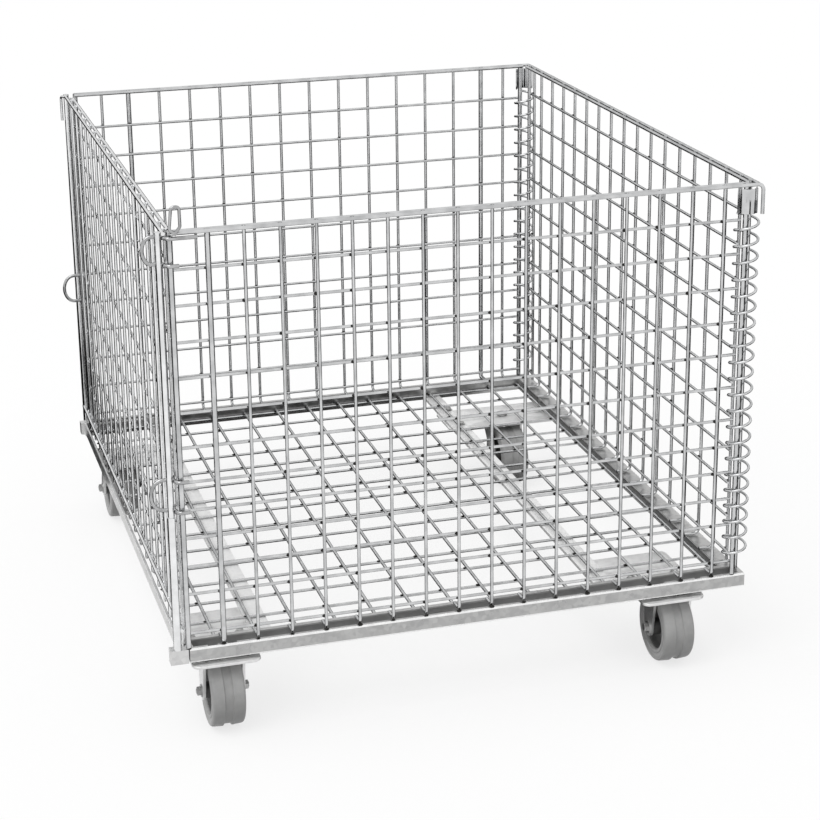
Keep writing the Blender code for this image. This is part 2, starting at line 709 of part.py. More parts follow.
def clip(name, post_x, post_y, heights, side, top_tip=CLIP_TIP_X):
    path = clip_path(*heights, side, top_tip)
    path = [(post_x + x, post_y + y, z) for x, y, z in path]
    return finish(name, rod(path, CLIP_WIRE, (0, 0, 1)), WIRE_GREY)


upper_clip = clip("gate_clip_upper", gate_post_x, gate_post_ys[0], upper_clip_z, 1, LONG_TIP_X)
lower_clip = clip("gate_clip_lower", gate_post_x, gate_post_ys[0], LOWER_CLIP_Z, 1)
back_ring = clip("back_ring", gate_back_x, gate_post_ys[1], BACK_RING_Z, -1)

hairpin_y = -rail_face - FIT - HAIRPIN_WIRE / 2.0
hairpin_low = TOP_Z - HAIRPIN_DROP
hairpin_high = TOP_Z + HAIRPIN_OVER
loop_half = HAIRPIN_WIDE / 2.0
loop_mid = left_post_x + HAIRPIN_SHIFT + loop_half
loop = [(loop_mid - loop_half, hairpin_y, hairpin_low)]
for k in range(7):
    turn = math.radians(180.0 - 30.0 * k)
    z = hairpin_high - loop_half + loop_half * math.sin(turn)
    loop.append((loop_mid + loop_half * math.cos(turn), hairpin_y, z))
loop.append((loop_mid + loop_half, hairpin_y, hairpin_low))
hairpin = finish("hairpin_handle", rod(loop, HAIRPIN_WIRE, (0, 1, 0)), WIRE_GREY)

# Casters: two rigid ones in front, two swivel ones behind.

def bolt(name, x, y, nut_low, head_high):
    profile = [
        (head_high - NUT_TALL + 1.0, NUT), (head_high, NUT), (head_high, BOLT),
        (nut_low, BOLT), (nut_low, NUT), (nut_low + NUT_TALL, NUT),
        (nut_low + NUT_TALL + 2.0, BOLT * 0.8),
    ]
    return finish(name, spindle(profile, (x, y, 0.0), "z", 6), DARK_ZINC)


def thin_nut_bolt(name, x, y, nut_low, nut_high, head_high):
    profile = [
        (head_high - NUT_TALL + 1.0, NUT), (head_high, NUT), (head_high, BOLT),
        (nut_low, BOLT), (nut_low, NUT), (nut_high, NUT),
    ]
    return finish(name, spindle(profile, (x, y, 0.0), "z", 6), DARK_ZINC)


def wheel(tag, x, y):
    centre = (x, y, wheel_z)
    boss = LEG_IN - 0.5
    hub = [
        (boss, bore), (boss, 12.0), (12.0, 14.0), (9.0, 29.0), (20.0, RIM_RADIUS),
        (-20.0, RIM_RADIUS), (-9.0, 29.0), (-12.0, 14.0), (-boss, 12.0), (-boss, bore),
    ]
    hub.reverse()
    finish("wheel_hub_" + tag, turned(hub, centre, "x", WHEEL_SIDES), HUB_GREY, 0.0, 0.5)
    inner = RIM_RADIUS + FIT
    edge = WHEEL_HALF
    full = WHEEL_RADIUS
    tyre = [
        (-21.0, inner), (21.0, inner), (edge, full - 6.0), (edge - 4.0, full - 1.2), (5.0, full),
        (3.4, full - 1.4), (-3.4, full - 1.4), (-5.0, full), (4.0 - edge, full - 1.2), (-edge, full - 6.0),
    ]
    tyre.reverse()
    finish("wheel_tyre_" + tag, turned(tyre, centre, "x", WHEEL_SIDES), RUBBER, 0.0, 0.75)
    out = leg_out + FIT
    pin = [(-out - 6.0, 9.0), (-out, 9.0), (-out, AXLE), (out, AXLE), (out, 9.0), (out + 6.0, 9.0)]
    finish("axle_" + tag, spindle(pin, centre, "x", 8), DARK_ZINC)


def axle_holes(x, y):
    hole = []
    for side in (-1, 1):
        centre = (x + side * (LEG_IN + leg_out) / 2.0, y, wheel_z)
        hole.append(spindle([(-6.0, bore), (6.0, bore)], centre, "x", 8))
    return joined(*hole)


def rigid_caster(tag, x, sheet_x, plate_shift=0.0):
    y = RAIL_FRONT + FRONT_CASTER_BACK
    y0 = y - PLATE_HALF_Y
    y1 = y + PLATE_HALF_Y
    bolt_ys = (RAIL_FRONT + FRONT_BOLT_Y, y + FRONT_BOLT_BACK)
    plate_x = x + plate_shift
    spots = [(plate_x + sx * FRONT_BOLT_X, sy) for sy in bolt_ys for sx in (-1, 1)]
    holes = [post_hole(px, py, bolt_hole, plate_low - 30.0, sheet_top + 10.0) for px, py in spots]
    sheet_y = (RAIL_FRONT + SHEET_FRONT_IN, y + SHEET_BACK_Y)
    outline = rounded(plate_x - sheet_x[0], plate_x + sheet_x[1], *sheet_y, 9.0)
    plate = rounded(plate_x - PLATE_HALF_X, plate_x + PLATE_HALF_X, y0, y1, 12.0)
    sheet = finish("mount_sheet_" + tag, slab(outline, sheet_low, sheet_top))
    combine(sheet, slab(plate, sheet_low, sheet_top), "UNION", "front_lip")
    combine(sheet, joined(*holes), "DIFFERENCE", "bolt_holes")
    bracket = finish("bracket_" + tag, slab(plate, plate_low, plate_top))
    for side in (-1, 1):
        sections = []
        steps = (
            (plate_low + 1.0, LEG_SPLAY + side * plate_shift, 21.0), (plate_low - 13.0, 0.0, 21.0), (plate_low - 34.0, 0.0, 17.0),
            (wheel_z - 4.0, 0.0, 13.0), (wheel_z - 14.0, 0.0, 5.0),
        )
        for z, splay, half in steps:
            near = x + side * (LEG_IN + splay)
            far = x + side * (leg_out + splay)
            sections.append((z, min(near, far), max(near, far), y - half, y + half))
        combine(bracket, loft(sections), "UNION", "leg_left" if side < 0 else "leg_right")
    combine(bracket, joined(*holes), "DIFFERENCE", "bolt_holes")
    combine(bracket, axle_holes(x, y), "DIFFERENCE", "axle_holes")
    head = plate_low - FIT
    for k, (px, py) in enumerate(spots):
        name = "caster_bolt_" + tag + "_" + str(k + 1)
        if k < 2:
            bolt(name, px, py, -RAIL_TALL + SHEET + FIT, head)
        else:
            thin_nut_bolt(name, px, py, sheet_top + FIT, sheet_top + FIT + 5.5, head)
    wheel(tag, x, y)
    return spots[:2]


flange_spots = rigid_caster("fl", left_in + FRONT_CASTER_IN[0], LEFT_SHEET_X)
flange_spots += rigid_caster("fr", RAIL_RIGHT - FRONT_CASTER_IN[1], RIGHT_SHEET_X, RIGHT_PLATE_SHIFT)
flange_span = (-RAIL_TALL - 2.0, -RAIL_TALL + 2.0 * SHEET)
flange_holes = [post_hole(px, py, bolt_hole, *flange_span) for px, py in flange_spots]
combine(front_rail, joined(*flange_holes), "DIFFERENCE", "bolt_holes")

crown_high = sheet_top - SWIVEL_THICK - FIT - RACE_TALL - FIT
crown_low = crown_high - CROWN_THICK
pin_hole = KINGPIN + AXLE_ROOM


def swivel_caster(tag, x, plate_x, trail, rail, rail_x, bar, bar_x, thin=False):
    y = rear_y
    bolt_ys = [y + shift for shift in REAR_BOLT_YS]
    plate_bottom = sheet_top - SWIVEL_THICK
    span = (plate_bottom - 10.0, bar_top + 6.0)
    outline = rounded(*plate_x, y - SWIVEL_HALF_Y, y + SWIVEL_HALF_Y, 12.0)
    plate = finish("swivel_plate_" + tag, slab(outline, plate_bottom, sheet_top))
    spots = [(px, py) for py in bolt_ys for px in sorted((rail_x, bar_x))]
    holes = [post_hole(px, py, bolt_hole, *span) for px, py in spots]
    holes.append(post_hole(x, y, pin_hole, *span, 12))
    combine(plate, joined(*holes), "DIFFERENCE", "bolt_holes")
    rail_holes = [post_hole(rail_x, py, bolt_hole, *span) for py in bolt_ys]
    combine(rail, joined(*rail_holes), "DIFFERENCE", "bolt_holes")
    bar_holes = [post_hole(bar_x, py, bolt_hole, *span) for py in bolt_ys]
    combine(bar, joined(*bar_holes), "DIFFERENCE", "bolt_holes")
    for k, (px, py) in enumerate(spots):
        name = "caster_bolt_" + tag + "_" + str(k + 1)
        low = -RAIL_TALL + SHEET + FIT if px == rail_x else bar_top + FIT
        if thin and px == rail_x:
            thin_nut_bolt(name, px, py, low, low + THIN_NUT, plate_bottom - FIT)
        else:
            bolt(name, px, py, low, plate_bottom - FIT)
    race_top = plate_bottom - FIT
    pin = [
        (crown_low - FIT - 4.0, 9.0), (crown_low - FIT, 9.0), (crown_low - FIT, KINGPIN),
        (race_top - RACE_TALL, KINGPIN), (race_top - RACE_TALL, 22.0), (race_top, 24.0),
        (race_top, KINGPIN), (sheet_top + FIT, KINGPIN), (sheet_top + FIT, 10.0),
        (sheet_top + FIT + 5.0, 10.0),
    ]
    finish("kingpin_" + tag, spindle(pin, (x, y, 0.0), "z", 12), DARK_ZINC)
    way = 1 if trail > 0 else -1
    ends = sorted((y - way * 27.0, y + way * 30.0))
    crown = rounded(x - leg_out, x + leg_out, ends[0], ends[1], 4.0, 2)
    fork = finish("fork_" + tag, slab(crown, crown_low, crown_high))
    axle_y = y + trail
    for side in (-1, 1):
        x0, x1 = sorted((x + side * LEG_IN, x + side * leg_out))
        sections = [(crown_low + 1.0, x0, x1, ends[0] + 5.0, ends[1] - 5.0)]
        sections.append((crown_low - 10.0, x0, x1, *sorted((y - way * 20.0, y + way * 34.0))))
        sections.append((wheel_z + 14.0, x0, x1, axle_y - 15.0, axle_y + 15.0))
        sections.append((wheel_z - 5.0, x0, x1, axle_y - 13.0, axle_y + 13.0))
        sections.append((wheel_z - 14.0, x0, x1, axle_y - 5.0, axle_y + 5.0))
        combine(fork, loft(sections), "UNION", "leg_left" if side < 0 else "leg_right")
    combine(fork, post_hole(x, y, pin_hole, crown_low - 10.0, crown_high + 10.0, 12), "DIFFERENCE", "pin_hole")
    combine(fork, axle_holes(x, axle_y), "DIFFERENCE", "axle_holes")
    wheel(tag, x, axle_y)


swivel_caster(
    "bl", left_in + REAR_CASTER_IN[0], (left_face + PLATE_EDGE, left_bar_x[1] + PLATE_EDGE), REAR_TRAIL,
    left_rail, left_face + LEFT_BOLT_IN, left_bar, left_bar_x[0] + BAR_WIDE / 2.0, True,
)
swivel_caster(
    "br", right_in - REAR_CASTER_IN[1], (right_bar_x[0] - PLATE_EDGE, RAIL_RIGHT - PLATE_EDGE), -REAR_TRAIL,
    right_rail, RAIL_RIGHT - RAIL_WIDE / 2.0, right_bar, right_bar_x[0] + BAR_WIDE / 2.0 + RIGHT_BOLT_SHIFT,
)
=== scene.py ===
import math

import bmesh
import bpy
from mathutils import Matrix, Vector


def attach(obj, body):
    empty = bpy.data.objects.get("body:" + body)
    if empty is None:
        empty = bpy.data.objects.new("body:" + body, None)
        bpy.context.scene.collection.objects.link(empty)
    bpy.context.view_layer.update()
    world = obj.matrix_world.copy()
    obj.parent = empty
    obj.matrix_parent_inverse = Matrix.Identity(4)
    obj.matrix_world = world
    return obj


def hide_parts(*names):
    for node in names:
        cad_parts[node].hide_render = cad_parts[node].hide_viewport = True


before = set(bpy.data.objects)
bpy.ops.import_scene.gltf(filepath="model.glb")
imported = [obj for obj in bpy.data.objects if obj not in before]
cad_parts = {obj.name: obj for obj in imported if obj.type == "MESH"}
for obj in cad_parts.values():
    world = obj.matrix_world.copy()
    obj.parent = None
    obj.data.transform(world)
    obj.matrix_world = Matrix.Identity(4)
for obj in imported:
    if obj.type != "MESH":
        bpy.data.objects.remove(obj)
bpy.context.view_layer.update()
print("frame loaded:", len(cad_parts), "nodes")

scene = bpy.context.scene
scene.view_settings.view_transform = "Standard"
binOrigin = {"x": 362.68443, "y": 491.0835, "floor": -143.5}  # bin millimetres at the frame's origin


def at(x, y, z):  # bin millimetres to frame metres
    return Vector((x - binOrigin["x"], y - binOrigin["y"], z - binOrigin["floor"])) / 1000


# Finishes: a slow change of tone, a spread of roughness and a fine grain on Object coordinates

texture = {
    "cloudDetail": 6, "grainDetail": 3, "toneStops": (0.32, 0.68), "noiseSpan": (0.3, 0.7),
    "bumpDepth": 0.0004, "crystalShare": 0.35,
}


def makeFinish(name, look):
    material = bpy.data.materials.new(name)
    material.use_nodes = True
    tree = material.node_tree
    shader = tree.nodes["Principled BSDF"]
    shader.inputs["Metallic"].default_value = look["metal"]
    edge = look.get("edgeTint", 1.0)  # tone of a metal seen edge on
    shader.inputs["Specular Tint"].default_value = (edge, edge, edge, 1)
    coords = tree.nodes.new("ShaderNodeTexCoord")
    cloud = tree.nodes.new("ShaderNodeTexNoise")
    cloud.inputs["Scale"].default_value = look["toneScale"]
    cloud.inputs["Detail"].default_value = texture["cloudDetail"]
    tones = tree.nodes.new("ShaderNodeValToRGB")
    for k, tone in enumerate(("darkTone", "lightTone")):
        tones.color_ramp.elements[k].position = texture["toneStops"][k]
        tones.color_ramp.elements[k].color = (*look[tone], 1)
    spread = tree.nodes.new("ShaderNodeMapRange")
    for k, end in enumerate(("Min", "Max")):
        spread.inputs["From " + end].default_value = texture["noiseSpan"][k]
        spread.inputs["To " + end].default_value = look["roughness"][k]
    grain = tree.nodes.new("ShaderNodeTexNoise")
    grain.inputs["Scale"].default_value = look["grainScale"]
    grain.inputs["Detail"].default_value = texture["grainDetail"]
    bump = tree.nodes.new("ShaderNodeBump")
    bump.inputs["Strength"].default_value = look["grain"]
    bump.inputs["Distance"].default_value = texture["bumpDepth"]
    link = tree.links.new
    link(coords.outputs["Object"], cloud.inputs["Vector"])
    link(coords.outputs["Object"], grain.inputs["Vector"])
    toneFactor = cloud.outputs["Fac"]
    if look.get("spangle"):  # crystal patches of hot-dip zinc
        crystals = tree.nodes.new("ShaderNodeTexVoronoi")
        crystals.inputs["Scale"].default_value = look["spangle"]
        link(coords.outputs["Object"], crystals.inputs["Vector"])
        patches = tree.nodes.new("ShaderNodeMix")
        patches.inputs["Factor"].default_value = texture["crystalShare"]
        link(cloud.outputs["Fac"], patches.inputs["A"])
        link(crystals.outputs["Color"], patches.inputs["B"])
        toneFactor = patches.outputs["Result"]
    link(toneFactor, tones.inputs["Fac"])
    link(tones.outputs["Color"], shader.inputs["Base Color"])
    link(cloud.outputs["Fac"], spread.inputs["Value"])
    link(spread.outputs["Result"], shader.inputs["Roughness"])
    link(grain.outputs["Fac"], bump.inputs["Height"])
    link(bump.outputs["Normal"], shader.inputs["Normal"])
    return material


wirePlating = makeFinish("wirePlating", {
    "metal": 1.0, "darkTone": (0.47, 0.475, 0.48), "lightTone": (0.67, 0.675, 0.68), "toneScale": 45,
    "roughness": (0.05, 0.12), "grainScale": 1400, "grain": 0.05, "edgeTint": 0.65,
})
# a lighter copy of the wire plating for the gate wires: painted light
gateLitPlating = makeFinish("gateLitPlating", {
    "metal": 1.0, "darkTone": (0.72, 0.725, 0.73), "lightTone": (0.90, 0.905, 0.91), "toneScale": 45,
    "roughness": (0.05, 0.12), "grainScale": 1400, "grain": 0.05, "edgeTint": 0.8,
})
clipPlating = makeFinish("clipPlating", {
    "metal": 1.0, "darkTone": (0.32, 0.322, 0.325), "lightTone": (0.50, 0.503, 0.507), "toneScale": 70,
    "roughness": (0.06, 0.14), "grainScale": 1400, "grain": 0.05, "edgeTint": 0.2,
})
# near-black for the weld beads: weld burn together with painted shadow of each crossing
weldBurnAndShade = makeFinish("weldBurnAndShade", {
    "metal": 0.7, "darkTone": (0.006, 0.006, 0.006), "lightTone": (0.05, 0.047, 0.044), "toneScale": 420,
    "roughness": (0.45, 0.75), "grainScale": 1800, "grain": 0.4,
})
railZinc = makeFinish("railZinc", {
    "metal": 1.0, "darkTone": (0.39, 0.39, 0.39), "lightTone": (0.51, 0.51, 0.505), "toneScale": 40,
    "roughness": (0.26, 0.40), "grainScale": 900, "grain": 0.08, "spangle": 160,
})
# a lighter copy of the rail zinc for the left rail: painted light on the side the lamp falls on
leftLitZinc = makeFinish("leftLitZinc", {
    "metal": 1.0, "darkTone": (0.60, 0.60, 0.60), "lightTone": (0.72, 0.72, 0.715), "toneScale": 40,
    "roughness": (0.26, 0.40), "grainScale": 900, "grain": 0.08, "spangle": 160,
})
# a near-white copy of the rail zinc for the rounded top folds of the rails: a painted highlight
foldHighlightZinc = makeFinish("foldHighlightZinc", {
    "metal": 1.0, "darkTone": (0.84, 0.84, 0.84), "lightTone": (0.96, 0.96, 0.955), "toneScale": 90,
    "roughness": (0.20, 0.32), "grainScale": 1200, "grain": 0.06,
})
# a dull, near-matt copy of the rail zinc for the faces inside the channels: painted shade
channelShadeZinc = makeFinish("channelShadeZinc", {
    "metal": 0.2, "darkTone": (0.40, 0.40, 0.40), "lightTone": (0.54, 0.54, 0.538), "toneScale": 30,
    "roughness": (0.5, 0.7), "grainScale": 700, "grain": 0.15,
})
sheetZinc = makeFinish("sheetZinc", {
    "metal": 0.8, "darkTone": (0.74, 0.74, 0.74), "lightTone": (0.86, 0.86, 0.855), "toneScale": 60,
    "roughness": (0.30, 0.42), "grainScale": 1100, "grain": 0.08, "spangle": 200,
})
plateZinc = makeFinish("plateZinc", {
    "metal": 0.2, "darkTone": (0.84, 0.84, 0.84), "lightTone": (0.92, 0.92, 0.915), "toneScale": 60,
    "roughness": (0.34, 0.48), "grainScale": 1100, "grain": 0.08, "spangle": 200,
})
nutZinc = makeFinish("nutZinc", {
    "metal": 1.0, "darkTone": (0.28, 0.28, 0.28), "lightTone": (0.52, 0.52, 0.515), "toneScale": 160,
    "roughness": (0.26, 0.44), "grainScale": 1500, "grain": 0.12,
})
greyRubber = makeFinish("greyRubber", {
    "metal": 0.0, "darkTone": (0.40, 0.40, 0.398), "lightTone": (0.48, 0.48, 0.476), "toneScale": 55,
    "roughness": (0.32, 0.46), "grainScale": 1300, "grain": 0.18,
})
hubPlastic = makeFinish("hubPlastic", {
    "metal": 0.0, "darkTone": (0.05, 0.05, 0.05), "lightTone": (0.085, 0.085, 0.083), "toneScale": 70,
    "roughness": (0.38, 0.55), "grainScale": 1600, "grain": 0.15,
})
print("finishes made")


# Geometry Nodes: helpers and the four trees of this bin

def newTree(name, sockets):
    tree = bpy.data.node_groups.new(name, "GeometryNodeTree")
    tree.is_modifier = True
    tree.interface.new_socket("Geometry", in_out="INPUT", socket_type="NodeSocketGeometry")
    for label, kind, value in sockets:
        socket = tree.interface.new_socket(label, in_out="INPUT", socket_type="NodeSocket" + kind)
        if value is not None:
            socket.default_value = value
    tree.interface.new_socket("Geometry", in_out="OUTPUT", socket_type="NodeSocketGeometry")
    return tree, tree.nodes.new("NodeGroupInput"), tree.nodes.new("NodeGroupOutput")


def addNode(tree, kind, values=None, **settings):
    node = tree.nodes.new(kind)
    for key, value in settings.items():
        setattr(node, key, value)
    for key, value in (values or {}).items():
        if isinstance(value, bpy.types.NodeSocket):
            tree.links.new(value, node.inputs[key])
        else:
            node.inputs[key].default_value = value
    return node


def namedValue(tree, name, kind="FLOAT"):
    node = addNode(tree, "GeometryNodeInputNamedAttribute", {"Name": name}, data_type=kind)
    return node.outputs["Attribute"]


def closeTree(tree, geometry, given, last, smooth=True):  # joins the copies and gives them their finish
    if smooth:
        geometry = addNode(tree, "GeometryNodeSetShadeSmooth", {"Geometry": geometry}).outputs[0]
    whole = addNode(tree, "GeometryNodeRealizeInstances", {"Geometry": geometry})
    coat = addNode(tree, "GeometryNodeSetMaterial", {
        "Geometry": whole.outputs[0], "Material": given.outputs["Finish"],
    })
    tree.links.new(coat.outputs[0], last.inputs["Geometry"])


def buildBentWires():  # each chain of edges becomes one round wire with its own bends
    tree, given, last = newTree("bentWires", [
        ("Sides", "Int", 12), ("Bend Steps", "Int", 5), ("Finish", "Material", None),
    ])
    path = addNode(tree, "GeometryNodeMeshToCurve", {"Mesh": given.outputs["Geometry"]})
    bends = addNode(tree, "GeometryNodeFilletCurve", {
        "Curve": path.outputs[0], "Count": given.outputs["Bend Steps"],
        "Radius": namedValue(tree, "bendRadius"), "Limit Radius": True,
    }, mode="POLY")
    ring = addNode(tree, "GeometryNodeCurvePrimitiveCircle", {
        "Resolution": given.outputs["Sides"], "Radius": 1.0,
    })
    wires = addNode(tree, "GeometryNodeCurveToMesh", {
        "Curve": bends.outputs[0], "Profile Curve": ring.outputs["Curve"],
        "Scale": namedValue(tree, "wireRadius"), "Fill Caps": True,
    })
    closeTree(tree, wires.outputs[0], given, last)
    return tree


def buildWeldBeads():  # one uneven bead on every crossing
    tree, given, last = newTree("weldBeads", [
        ("Bead", "Vector", (0.004, 0.002, 0.002)), ("Uneven", "Float", 0.25), ("Seed", "Int", 7),
        ("Finish", "Material", None),
    ])
    drop = addNode(tree, "GeometryNodeMeshUVSphere", {"Segments": 8, "Rings": 5, "Radius": 1.0})
    low = addNode(tree, "ShaderNodeMath", {0: 1.0, 1: given.outputs["Uneven"]}, operation="SUBTRACT")
    high = addNode(tree, "ShaderNodeMath", {0: 1.0, 1: given.outputs["Uneven"]}, operation="ADD")
    chance = addNode(tree, "FunctionNodeRandomValue", {
        2: low.outputs[0], 3: high.outputs[0], "Seed": given.outputs["Seed"],
    }, data_type="FLOAT")
    size = addNode(tree, "ShaderNodeVectorMath", {
        0: given.outputs["Bead"], "Scale": chance.outputs[1],
    }, operation="SCALE")
    tilt = addNode(tree, "FunctionNodeRandomValue", {
        0: (-0.25, -0.25, -0.25), 1: (0.25, 0.25, 0.25), "Seed": given.outputs["Seed"],
    }, data_type="FLOAT_VECTOR")
    turn = addNode(tree, "FunctionNodeEulerToRotation", {0: tilt.outputs[0]})
    beads = addNode(tree, "GeometryNodeInstanceOnPoints", {
        "Points": given.outputs["Geometry"], "Instance": drop.outputs["Mesh"],
        "Rotation": turn.outputs[0], "Scale": size.outputs[0],
    })
    closeTree(tree, beads.outputs[0], given, last)
    return tree


def buildCornerCoil():  # a spring of one wire, set on the point that the mesh holds
    tree, given, last = newTree("cornerCoil", [
        ("Turns", "Float", 21.0), ("Coil Radius", "Float", 0.0174), ("Height", "Float", 0.53),
        ("Wire Radius", "Float", 0.002), ("Points Each Turn", "Int", 24), ("Sides", "Int", 10),
        ("Start", "Vector", (0.0, 0.0, 0.0)), ("Finish", "Material", None),
    ])
    spiral = addNode(tree, "GeometryNodeCurveSpiral", {
        "Resolution": given.outputs["Points Each Turn"], "Rotations": given.outputs["Turns"],
        "Start Radius": given.outputs["Coil Radius"], "End Radius": given.outputs["Coil Radius"],
        "Height": given.outputs["Height"], "Reverse": True,
    })
    ring = addNode(tree, "GeometryNodeCurvePrimitiveCircle", {
        "Resolution": given.outputs["Sides"], "Radius": given.outputs["Wire Radius"],
    })
    wire = addNode(tree, "GeometryNodeCurveToMesh", {
        "Curve": spiral.outputs[0], "Profile Curve": ring.outputs["Curve"], "Scale": 1.0, "Fill Caps": True,
    })
    turn = addNode(tree, "FunctionNodeEulerToRotation", {0: given.outputs["Start"]})
    coils = addNode(tree, "GeometryNodeInstanceOnPoints", {
        "Points": given.outputs["Geometry"], "Instance": wire.outputs[0], "Rotation": turn.outputs[0],
    })
    closeTree(tree, coils.outputs[0], given, last)
    return tree


hexShape = {  # in nut radii
    "washer": (24, 1.28, 0.16), "hexagon": (6, 1.0, 0.7), "crown": (12, 0.87, 0.72, 0.1), "stud": (12, 0.5),
    "washerLift": 0.08, "hexagonLift": 0.51, "crownLift": 0.86,
}


def buildHexFasteners():  # washer, hexagon and stud end on every point, turned as the point says
    tree, given, last = newTree("hexFasteners", [
        ("Stud Length", "Float", 1.05), ("Finish", "Material", None),
    ])

    def raised(mesh, lift):
        return addNode(tree, "GeometryNodeTransform", {"Geometry": mesh, "Translation": lift}).outputs[0]

    def cylinder(label, depth=None):
        sides, radius, *rest = hexShape[label]
        return addNode(tree, "GeometryNodeMeshCylinder", {
            "Vertices": sides, "Radius": radius, "Depth": depth or rest[0],
        }).outputs["Mesh"]

    sides, wide, narrow, depth = hexShape["crown"]
    crown = addNode(tree, "GeometryNodeMeshCone", {
        "Vertices": sides, "Radius Top": narrow, "Radius Bottom": wide, "Depth": depth,
    }).outputs["Mesh"]
    half = addNode(tree, "ShaderNodeMath", {0: given.outputs["Stud Length"], 1: 0.5}, operation="MULTIPLY")
    lift = addNode(tree, "ShaderNodeCombineXYZ", {"Z": half.outputs[0]})
    parts = addNode(tree, "GeometryNodeJoinGeometry")
    for part in (
        raised(cylinder("washer"), (0, 0, hexShape["washerLift"])),
        raised(cylinder("hexagon"), (0, 0, hexShape["hexagonLift"])),
        raised(crown, (0, 0, hexShape["crownLift"])),
        raised(cylinder("stud", given.outputs["Stud Length"]), lift.outputs[0]),
    ):
        tree.links.new(part, parts.inputs[0])
    turn = addNode(tree, "FunctionNodeEulerToRotation", {0: namedValue(tree, "nutTurn", "FLOAT_VECTOR")})
    nuts = addNode(tree, "GeometryNodeInstanceOnPoints", {
        "Points": given.outputs["Geometry"], "Instance": parts.outputs[0], "Rotation": turn.outputs[0],
        "Scale": namedValue(tree, "nutRadius"),
    })
    closeTree(tree, nuts.outputs[0], given, last, smooth=False)
    return tree


bentWires = buildBentWires()
weldBeads = buildWeldBeads()
cornerCoil = buildCornerCoil()
hexFasteners = buildHexFasteners()
print("node trees built")


def grow(name, mesh, tree, values):  # runs a tree on a mesh and keeps the result as a plain mesh
    piece = bpy.data.objects.new(name, mesh)
    scene.collection.objects.link(piece)
    modifier = piece.modifiers.new(tree.name, "NODES")
    modifier.node_group = tree
    for item in tree.interface.items_tree:
        if item.item_type == "SOCKET" and item.in_out == "INPUT" and item.name in values:
            modifier[item.identifier] = values[item.name]
    bpy.context.view_layer.update()
    graph = bpy.context.evaluated_depsgraph_get()
    plain = bpy.data.meshes.new_from_object(piece.evaluated_get(graph))
    piece.modifiers.remove(modifier)
    piece.data = plain
    plain.name = name
    return piece


def wireMesh(name, runs):  # runs are (points, wire size, bend radius), in bin millimetres
    points, edges, radii, bends = [], [], [], []
    for path, size, bend in runs:
        start = len(points)
        points.extend(at(*spot) for spot in path)
        radii.extend([size / 2000] * len(path))
        bends.extend([bend / 1000] * len(path))
        edges.extend((start + k, start + k + 1) for k in range(len(path) - 1))
    mesh = bpy.data.meshes.new(name)
    mesh.from_pydata(points, edges, [])
    for label, values in (("wireRadius", radii), ("bendRadius", bends)):
        mesh.attributes.new(label, "FLOAT", "POINT").data.foreach_set("value", values)
    return mesh


def pointMesh(name, points):
    mesh = bpy.data.meshes.new(name)
    mesh.from_pydata([at(*spot) for spot in points], [], [])
    return mesh


def dress(piece, body, slot, *nodes):  # ties a piece to its body and hides its CAD nodes; the finish slot is not used
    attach(piece, body)
    if nodes:
        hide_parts(*nodes)
    return piece


def wires(name, runs, body, *nodes, finish=wirePlating):
    values = {"Sides": 12, "Bend Steps": 5, "Finish": finish}
    piece = grow(name, wireMesh(name, runs), bentWires, values)
    return dress(piece, body, "plated_wire", *nodes)


def welds(name, points, bead, seed, body):
    values = {"Bead": [size / 1000 for size in bead], "Uneven": 0.28, "Seed": seed, "Finish": weldBurnAndShade}
    return dress(grow(name, pointMesh(name, points), weldBeads, values), body, "plated_wire")


# Walls: 'along' runs with the wall, 'out' points away from the bin

meshWire = {
    "upright": 5.0, "stout": 8.0, "cross": 4.4, "rail": 5.5, "railBend": 8.0, "top": 612.5,
    "freeLow": 0.5, "plainLow": 3.2, "bite": 0.15, "weldOut": -2.6,
}
footing = {"length": 24.0, "bend": 7.0, "lift": 0.7}  # uprights turn inward over the rail
railOut, railZ, railTail = 5.05, 610, 566
sideLevels = [564 - 54 * k for k in range(10)]

frontWall = {
    "place": lambda along, out, z: (along, -out, z),
    "uprights": [(3 + 50.3 * k, "stout" if k == 0 else "upright") for k in range(16)],
    "foot": True,
    "posts": [(-48, 0.0, 8.0, 0.6), (791, 0.0, 8.0, 0.6)],
    "levels": [81, 123, 166, 208, 250, 301, 352, 402, 454, 506, 557],
    "levelSpan": (-48, 785),
    "low": (20.5, -48, 791),
    "rails": [
        [(-50, railOut, railZ), (814.9, railOut, railZ), (814.9, railOut, railTail)],
        [(-50, -railOut, railZ), (795, -railOut, railZ)],
    ],
}
backWall = {
    "place": lambda along, out, z: (along, 987 + out, z),
    "uprights": [(7, "upright"), (55, "stout"), (714, "stout"), (757, "upright")]
    + [(110 + 55 * k, "upright") for k in range(11)],
    "foot": True,
    "posts": [(-39, 0.0, 8.0, 0.6), (791, 0.0, 8.0, 0.6)],
    "levels": [551 - 53.6 * k for k in range(10)],
    "levelSpan": (-39, 785),
    "low": (15, -39, 791),
    "rails": [
        [(-41, railOut, railZ), (814.9, railOut, railZ), (814.9, railOut, railTail)],
        [(-41, -railOut, railZ), (795, -railOut, railZ)],
    ],
}
rightWall = {
    "place": lambda along, out, z: (804 + out, along, z),
    "uprights": [(97 + 57.6 * k, "upright") for k in range(15)],
    "foot": True,
    "plain": [47, 942],
    "posts": [(16, 0.0, 6.2, 0.6), (971, 0.0, 6.2, 0.6)],
    "levels": sideLevels,
    "levelSpan": (43, 946),
    "low": (20.5, 16, 971),
    "rails": [
        [(-1.8, railOut, railZ), (988.8, railOut, railZ)],
        [(13.5, -railOut, railZ), (973.5, -railOut, railZ)],
    ],
}
